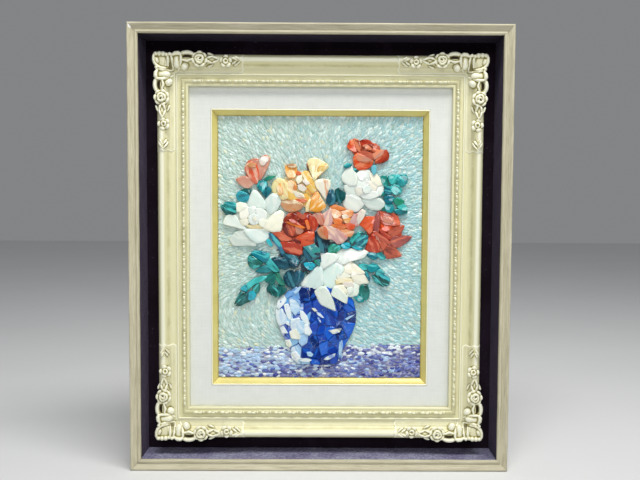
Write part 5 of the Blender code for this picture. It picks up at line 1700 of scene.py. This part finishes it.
def chip_shapes(name, reach, rough, detail, seed):
    """A collection of stones of a few dozen faces, all different."""
    random = np.random.default_rng(seed)
    group = bpy.data.collections.new(name)
    bpy.context.scene.collection.children.link(group)
    for k in range(CHIP_KINDS):
        bm = bmesh.new()
        bmesh.ops.create_icosphere(bm, subdivisions=detail, radius=1)
        for vert in bm.verts:
            vert.co *= 1 + random.uniform(-rough, rough)
            vert.co = Vector((vert.co.x * reach[0], vert.co.y * reach[1], vert.co.z * reach[2])) * MM
        group.objects.link(bpy.data.objects.new(f"{name}_{k}", mesh_of(bm, f"{name}_{k}")))
    return group


# %% One chip on every point
def chips_on_points():
    """A chip on every point, turned and scaled on its own."""
    kinds = {"points": "Geometry", "chips": "Collection", "finish": "Material"}
    tree = Grower("chips_on_points", **kinds, smallest="Float", largest="Float")
    asked = tree.asked
    members = {"Collection": asked["chips"], "Separate Children": True}
    shapes = tree.node("GeometryNodeCollectionInfo", None, members)
    turn = tree.node("GeometryNodeInputNamedAttribute", {"data_type": "FLOAT_VECTOR"}, {"Name": "turn"})
    turn = tree.node("FunctionNodeEulerToRotation", None, {"Euler": turn})
    tree.lay(asked["points"], shapes, turn, tree.chance(asked["smallest"], asked["largest"], 12), pick=True)
    return tree


chips_tree = chips_on_points()


def lay_chips(name, places, turns, tints, **settings):
    """One piece of chips, from the places, turns and tints of all of them."""
    mesh = bpy.data.meshes.new("places")
    mesh.from_pydata((places * MM).tolist(), [], [])
    give_values(mesh, turn=turns, tint=tints, lay=places * 0.37)
    return chips_tree.grow(add_object("places", mesh), name, **settings)


# %% Where the figures cover the ground
def hidden(places):
    """True where a chip would lie under a petal, a leaf or the jar."""
    flat = places[:, [0, 2]]
    away = np.hypot(flat[:, None, 0] - covers[None, :, 0], flat[:, None, 1] - covers[None, :, 1])
    under = (away < covers[None, :, 2]).any(axis=1)
    left, right, _ = jar_row(flat[:, 1] / UNIT)
    tall = (flat[:, 1] < -15.5 * UNIT) & (flat[:, 1] > -44 * UNIT)
    inside = (flat[:, 0] > (left + 0.8) * UNIT) & (flat[:, 0] < (right - 0.8) * UNIT)
    return under | (tall & inside)


# %% Scatter the pale ground
SIGHT_HALF = (155.5, 200.5)
SHELF = -150.0
random = np.random.default_rng(91)


def shelf_line(x):
    """The uneven line where the table begins."""
    return SHELF - 3.5 + 4.5 * x / SIGHT_HALF[0] + 1.6 * np.sin(x / 9.0) * np.sin(x / 23.0 + 1)


def scatter(low, high, step, random):
    """Places on a shaken grid across the picture, between two heights."""
    xs = np.arange(-SIGHT_HALF[0] + step[0] / 2, SIGHT_HALF[0], step[0])
    zs = np.arange(low + step[1] / 2, high, step[1])
    grid = np.stack(np.meshgrid(xs, zs), axis=2).reshape(-1, 2)
    grid += random.uniform(-0.5, 0.5, grid.shape) * step
    grid[:, 0] = np.clip(grid[:, 0], -SIGHT_HALF[0] + 1, SIGHT_HALF[0] - 1)
    grid[:, 1] = np.clip(grid[:, 1], low + 0.6, high - 1)
    return grid


def seat_chips(grid, random):
    """Gives the chips their depth in front of the wall and keeps those that nothing covers."""
    depths = random.uniform(13.0, 13.6, len(grid))
    places = np.stack([grid[:, 0], -depths, grid[:, 1]], axis=1)
    seen = ~hidden(places)
    return places[seen], grid[seen]


grid = scatter(SHELF - 12, SIGHT_HALF[1], (4.6, 3.5), random)
places, grid = seat_chips(grid[grid[:, 1] > shelf_line(grid[:, 0])], random)
count = len(places)
heading = np.arctan2(grid[:, 1] - 16, grid[:, 0] + 8) + random.normal(0, 0.28, count)
flatter = np.clip((-60 - grid[:, 1]) / 90, 0, 1) * 0.75
heading *= 1 - flatter * (np.abs(grid[:, 0]) > 55)
turns = np.stack([random.uniform(-0.3, 0.3, count), -heading, random.uniform(-0.09, 0.09, count)], axis=1)
rightwards = np.clip(0.5 + grid[:, 0] / 240 - grid[:, 1] / 900 + random.normal(0, 0.16, count), 0, 1)
warm, cool = np.array(paint(186, 212, 202)), np.array(paint(158, 206, 212))
tints = warm * (1 - rightwards[:, None]) + cool * rightwards[:, None]
pick = random.random(count)
tints[pick < 0.14] = paint(214, 238, 234)
tints[(pick > 0.96) & (grid[:, 0] < 20)] = paint(216, 224, 190)
tints[(pick > 0.88) & (pick < 0.94)] = paint(160, 198, 188)
tints[:, :3] *= random.uniform(0.9, 1.06, count)[:, None]
# between the flowers it is dark leaves that show, not the pale ground
inner = ((grid[:, 0] / UNIT + 1) / 15) ** 2 + ((grid[:, 1] / UNIT + 1) / 10) ** 2 < 1
tints[inner] = paint(22, 62, 72)
tints[inner & (pick < 0.4)] = paint(24, 30, 52)
tints[inner & (pick > 0.8)] = paint(20, 116, 114)
tints = np.clip(tints, 0, 1)
print(count, "chips in the pale ground")

# %% Lay the pale ground and its bed of glue
slivers = chip_shapes("sliver", (4.8, 0.9, 2.1), 0.1, 1, 31)
settings = {"chips": slivers, "finish": STONES["aqua_chips"], "smallest": 0.7, "largest": 1.25}
chips = lay_chips("background_chips", places, turns, tints, **settings)
settle(chips, "aqua_chips", "background_stones")


def glue_bed(name, low, high, colour):
    """The glue that the chips are pressed in, between two heights."""
    bed = Finish(name, Roughness=0.6)
    grain = bed.noise(bed.place(), 260.0, 3.0)
    tone = bed.mix(grain, colour, paint(228, 232, 226))
    material = bed.wire(Base_Color=tone, Normal=bed.bump(grain, 0.4 * MM, 0.8))
    size = (2 * SIGHT_HALF[0] * MM, (high - low) * MM)
    piece = slab(name, size, 12.3 * MM, 13.25 * MM, material, (60, 60), (0.15 * MM, 0.02), 9)
    for vert in piece.data.vertices:
        vert.co.z += (low + high) / 2 * MM
    return piece


settle(glue_bed("background_bed", SHELF + 0.2, SIGHT_HALF[1], paint(180, 208, 200)), "aqua_chips")

# %% Scatter and lay the table
random = np.random.default_rng(95)
grid = scatter(-SIGHT_HALF[1], SHELF + 6, (6.0, 3.4), random)
places, grid = seat_chips(grid[grid[:, 1] < shelf_line(grid[:, 0]) + 2], random)
count = len(places)
turns = [random.uniform(-0.3, 0.3, count), random.normal(0, 0.14, count), random.uniform(-0.1, 0.1, count)]
turns = np.stack(turns, axis=1)
violet = np.clip(0.3 + grid[:, 0] / 380 + (SHELF - grid[:, 1]) / 90, 0, 1)
pick = random.random(count)
tints = np.tile(np.array(paint(170, 202, 232)), (count, 1))
tints[pick < violet] = paint(80, 104, 184)
tints[pick < violet * 0.55] = paint(44, 54, 144)
tints[pick > 0.88] = paint(232, 242, 248)
tints[(pick > 0.86) & (grid[:, 0] > 60)] = paint(150, 184, 222)
tints[(grid[:, 1] > SHELF - 16) & (pick > 0.62)] = paint(226, 238, 244)
tints[:, :3] *= random.uniform(0.8, 1.15, count)[:, None]
tints = np.clip(tints, 0, 1)
print(count, "chips in the table")
pebbles = chip_shapes("pebble", (4.7, 1.2, 2.2), 0.08, 2, 37)
settings = {"chips": pebbles, "finish": STONES["amethyst_chips"], "smallest": 0.72, "largest": 1.15}
chips = lay_chips("table_chips", places, turns, tints, **settings)
settle(chips, "amethyst_chips", "table_stones")
settle(glue_bed("table_bed", -SIGHT_HALF[1], SHELF, paint(84, 84, 160)), "amethyst_chips")
for group in (slivers, pebbles):
    for item in list(group.objects):
        bpy.data.objects.remove(item)
    bpy.data.collections.remove(group)

# %% [markdown]
# ## Boards that nobody looks at
#
# The board behind the stones and the panel at the back are the model's own solids. They only get
# their materials: a primed face, and rotary-cut plywood with its long, wandering grain.


# %% Board and plywood
def plywood():
    ply = Finish("plywood", Roughness=0.7)
    place = ply.place()
    sweep = ply.noise(ply.stretch(place, (7.0, 1.0, 1.4)), 3.0, 3.0, 0.5, 1.6)
    rings = ply.node("ShaderNodeMath", {"operation": "SINE"}, {0: sweep * 46.0}) * 0.5 + 0.5
    fibre = ply.noise(ply.stretch(place, (700.0, 1.0, 22.0)), 1.0, 3.0)
    colour = ply.mix(rings * 0.55 + fibre * 0.35, paint(206, 178, 136), paint(164, 128, 84))
    return ply.wire(Base_Color=colour, Normal=ply.bump(fibre, 0.15 * MM, 0.6))


def primed_board():
    board = Finish("board", Roughness=0.8)
    brush = board.noise(board.stretch(board.place(), (12.0, 1.0, 300.0)), 1.0, 3.0)
    return board.wire(Base_Color=board.mix(brush, paint(190, 188, 178), paint(214, 212, 202)))


for name, material in (("back_panel", plywood()), ("picture_board", primed_board())):
    mesh = frame["nodes"][name].data
    mesh.materials.clear()
    mesh.materials.append(material)

# %% [markdown]
# ## Studio
#
# A plain pale floor, soft light from above and a little in front, and a weaker fill from the
# front. The camera stands about a metre away, a little above the middle, and looks down by three
# degrees.

# %% Floor
bm = bmesh.new()
bmesh.ops.create_grid(bm, x_segments=1, y_segments=1, size=6)
bmesh.ops.translate(bm, vec=(0, 0, cad_low.z - 0.5 * MM), verts=bm.verts)
mesh = mesh_of(bm, "studio_floor")
floor_finish = Finish("floor", Roughness=0.85)
floor_grain = floor_finish.noise(floor_finish.place(), 3.0, 2.0)
floor_tone = floor_finish.mix(floor_grain, paint(226, 227, 228), paint(232, 233, 234))
mesh.materials.append(floor_finish.wire(Base_Color=floor_tone))
floor = add_object("studio_floor", mesh)


# %% Lights
def soft_light(name, place, size, power, colour):
    """A rectangle of light that looks at the middle of the part."""
    light = bpy.data.lights.new(name, "AREA")
    light.shape = "RECTANGLE"
    light.size, light.size_y = size
    light.energy = power
    light.color = colour
    item = add_object(name, light)
    item.location = place
    item.rotation_euler = (-Vector(place)).to_track_quat("-Z", "Y").to_euler()


soft_light("key", (0.3, -0.9, 1.9), (1.5, 0.6), 44, (1.0, 0.99, 0.96))
soft_light("front", (0.2, -2.8, 1.0), (1.1, 0.6), 17, (0.96, 0.98, 1.0))
world = bpy.data.worlds.new("studio")
world.use_nodes = True
sky = world.node_tree.nodes["Background"]
sky.inputs["Color"].default_value = (0.95, 0.97, 1.0, 1)
sky.inputs["Strength"].default_value = 0.24
bpy.context.scene.world = world
bpy.context.scene.view_settings.view_transform = "Standard"

# %% Camera
FOCAL_PIXELS = 700.0
FRAME_PIXELS = 640.0
STAND = (-0.006, -1.087, 0.070)
YAW, PITCH, ROLL = -0.32, 3.06, 0.29
camera = bpy.data.cameras.new("camera")
camera.sensor_width = 36.0
camera.lens = FOCAL_PIXELS / FRAME_PIXELS * camera.sensor_width
viewer = add_object("camera", camera)
turn = Matrix.Rotation(math.radians(YAW), 4, "Z") @ Matrix.Rotation(math.radians(90 - PITCH), 4, "X")
turn = turn @ Matrix.Rotation(math.radians(ROLL), 4, "Z")
viewer.matrix_world = Matrix.Translation(STAND) @ turn
bpy.context.scene.camera = viewer
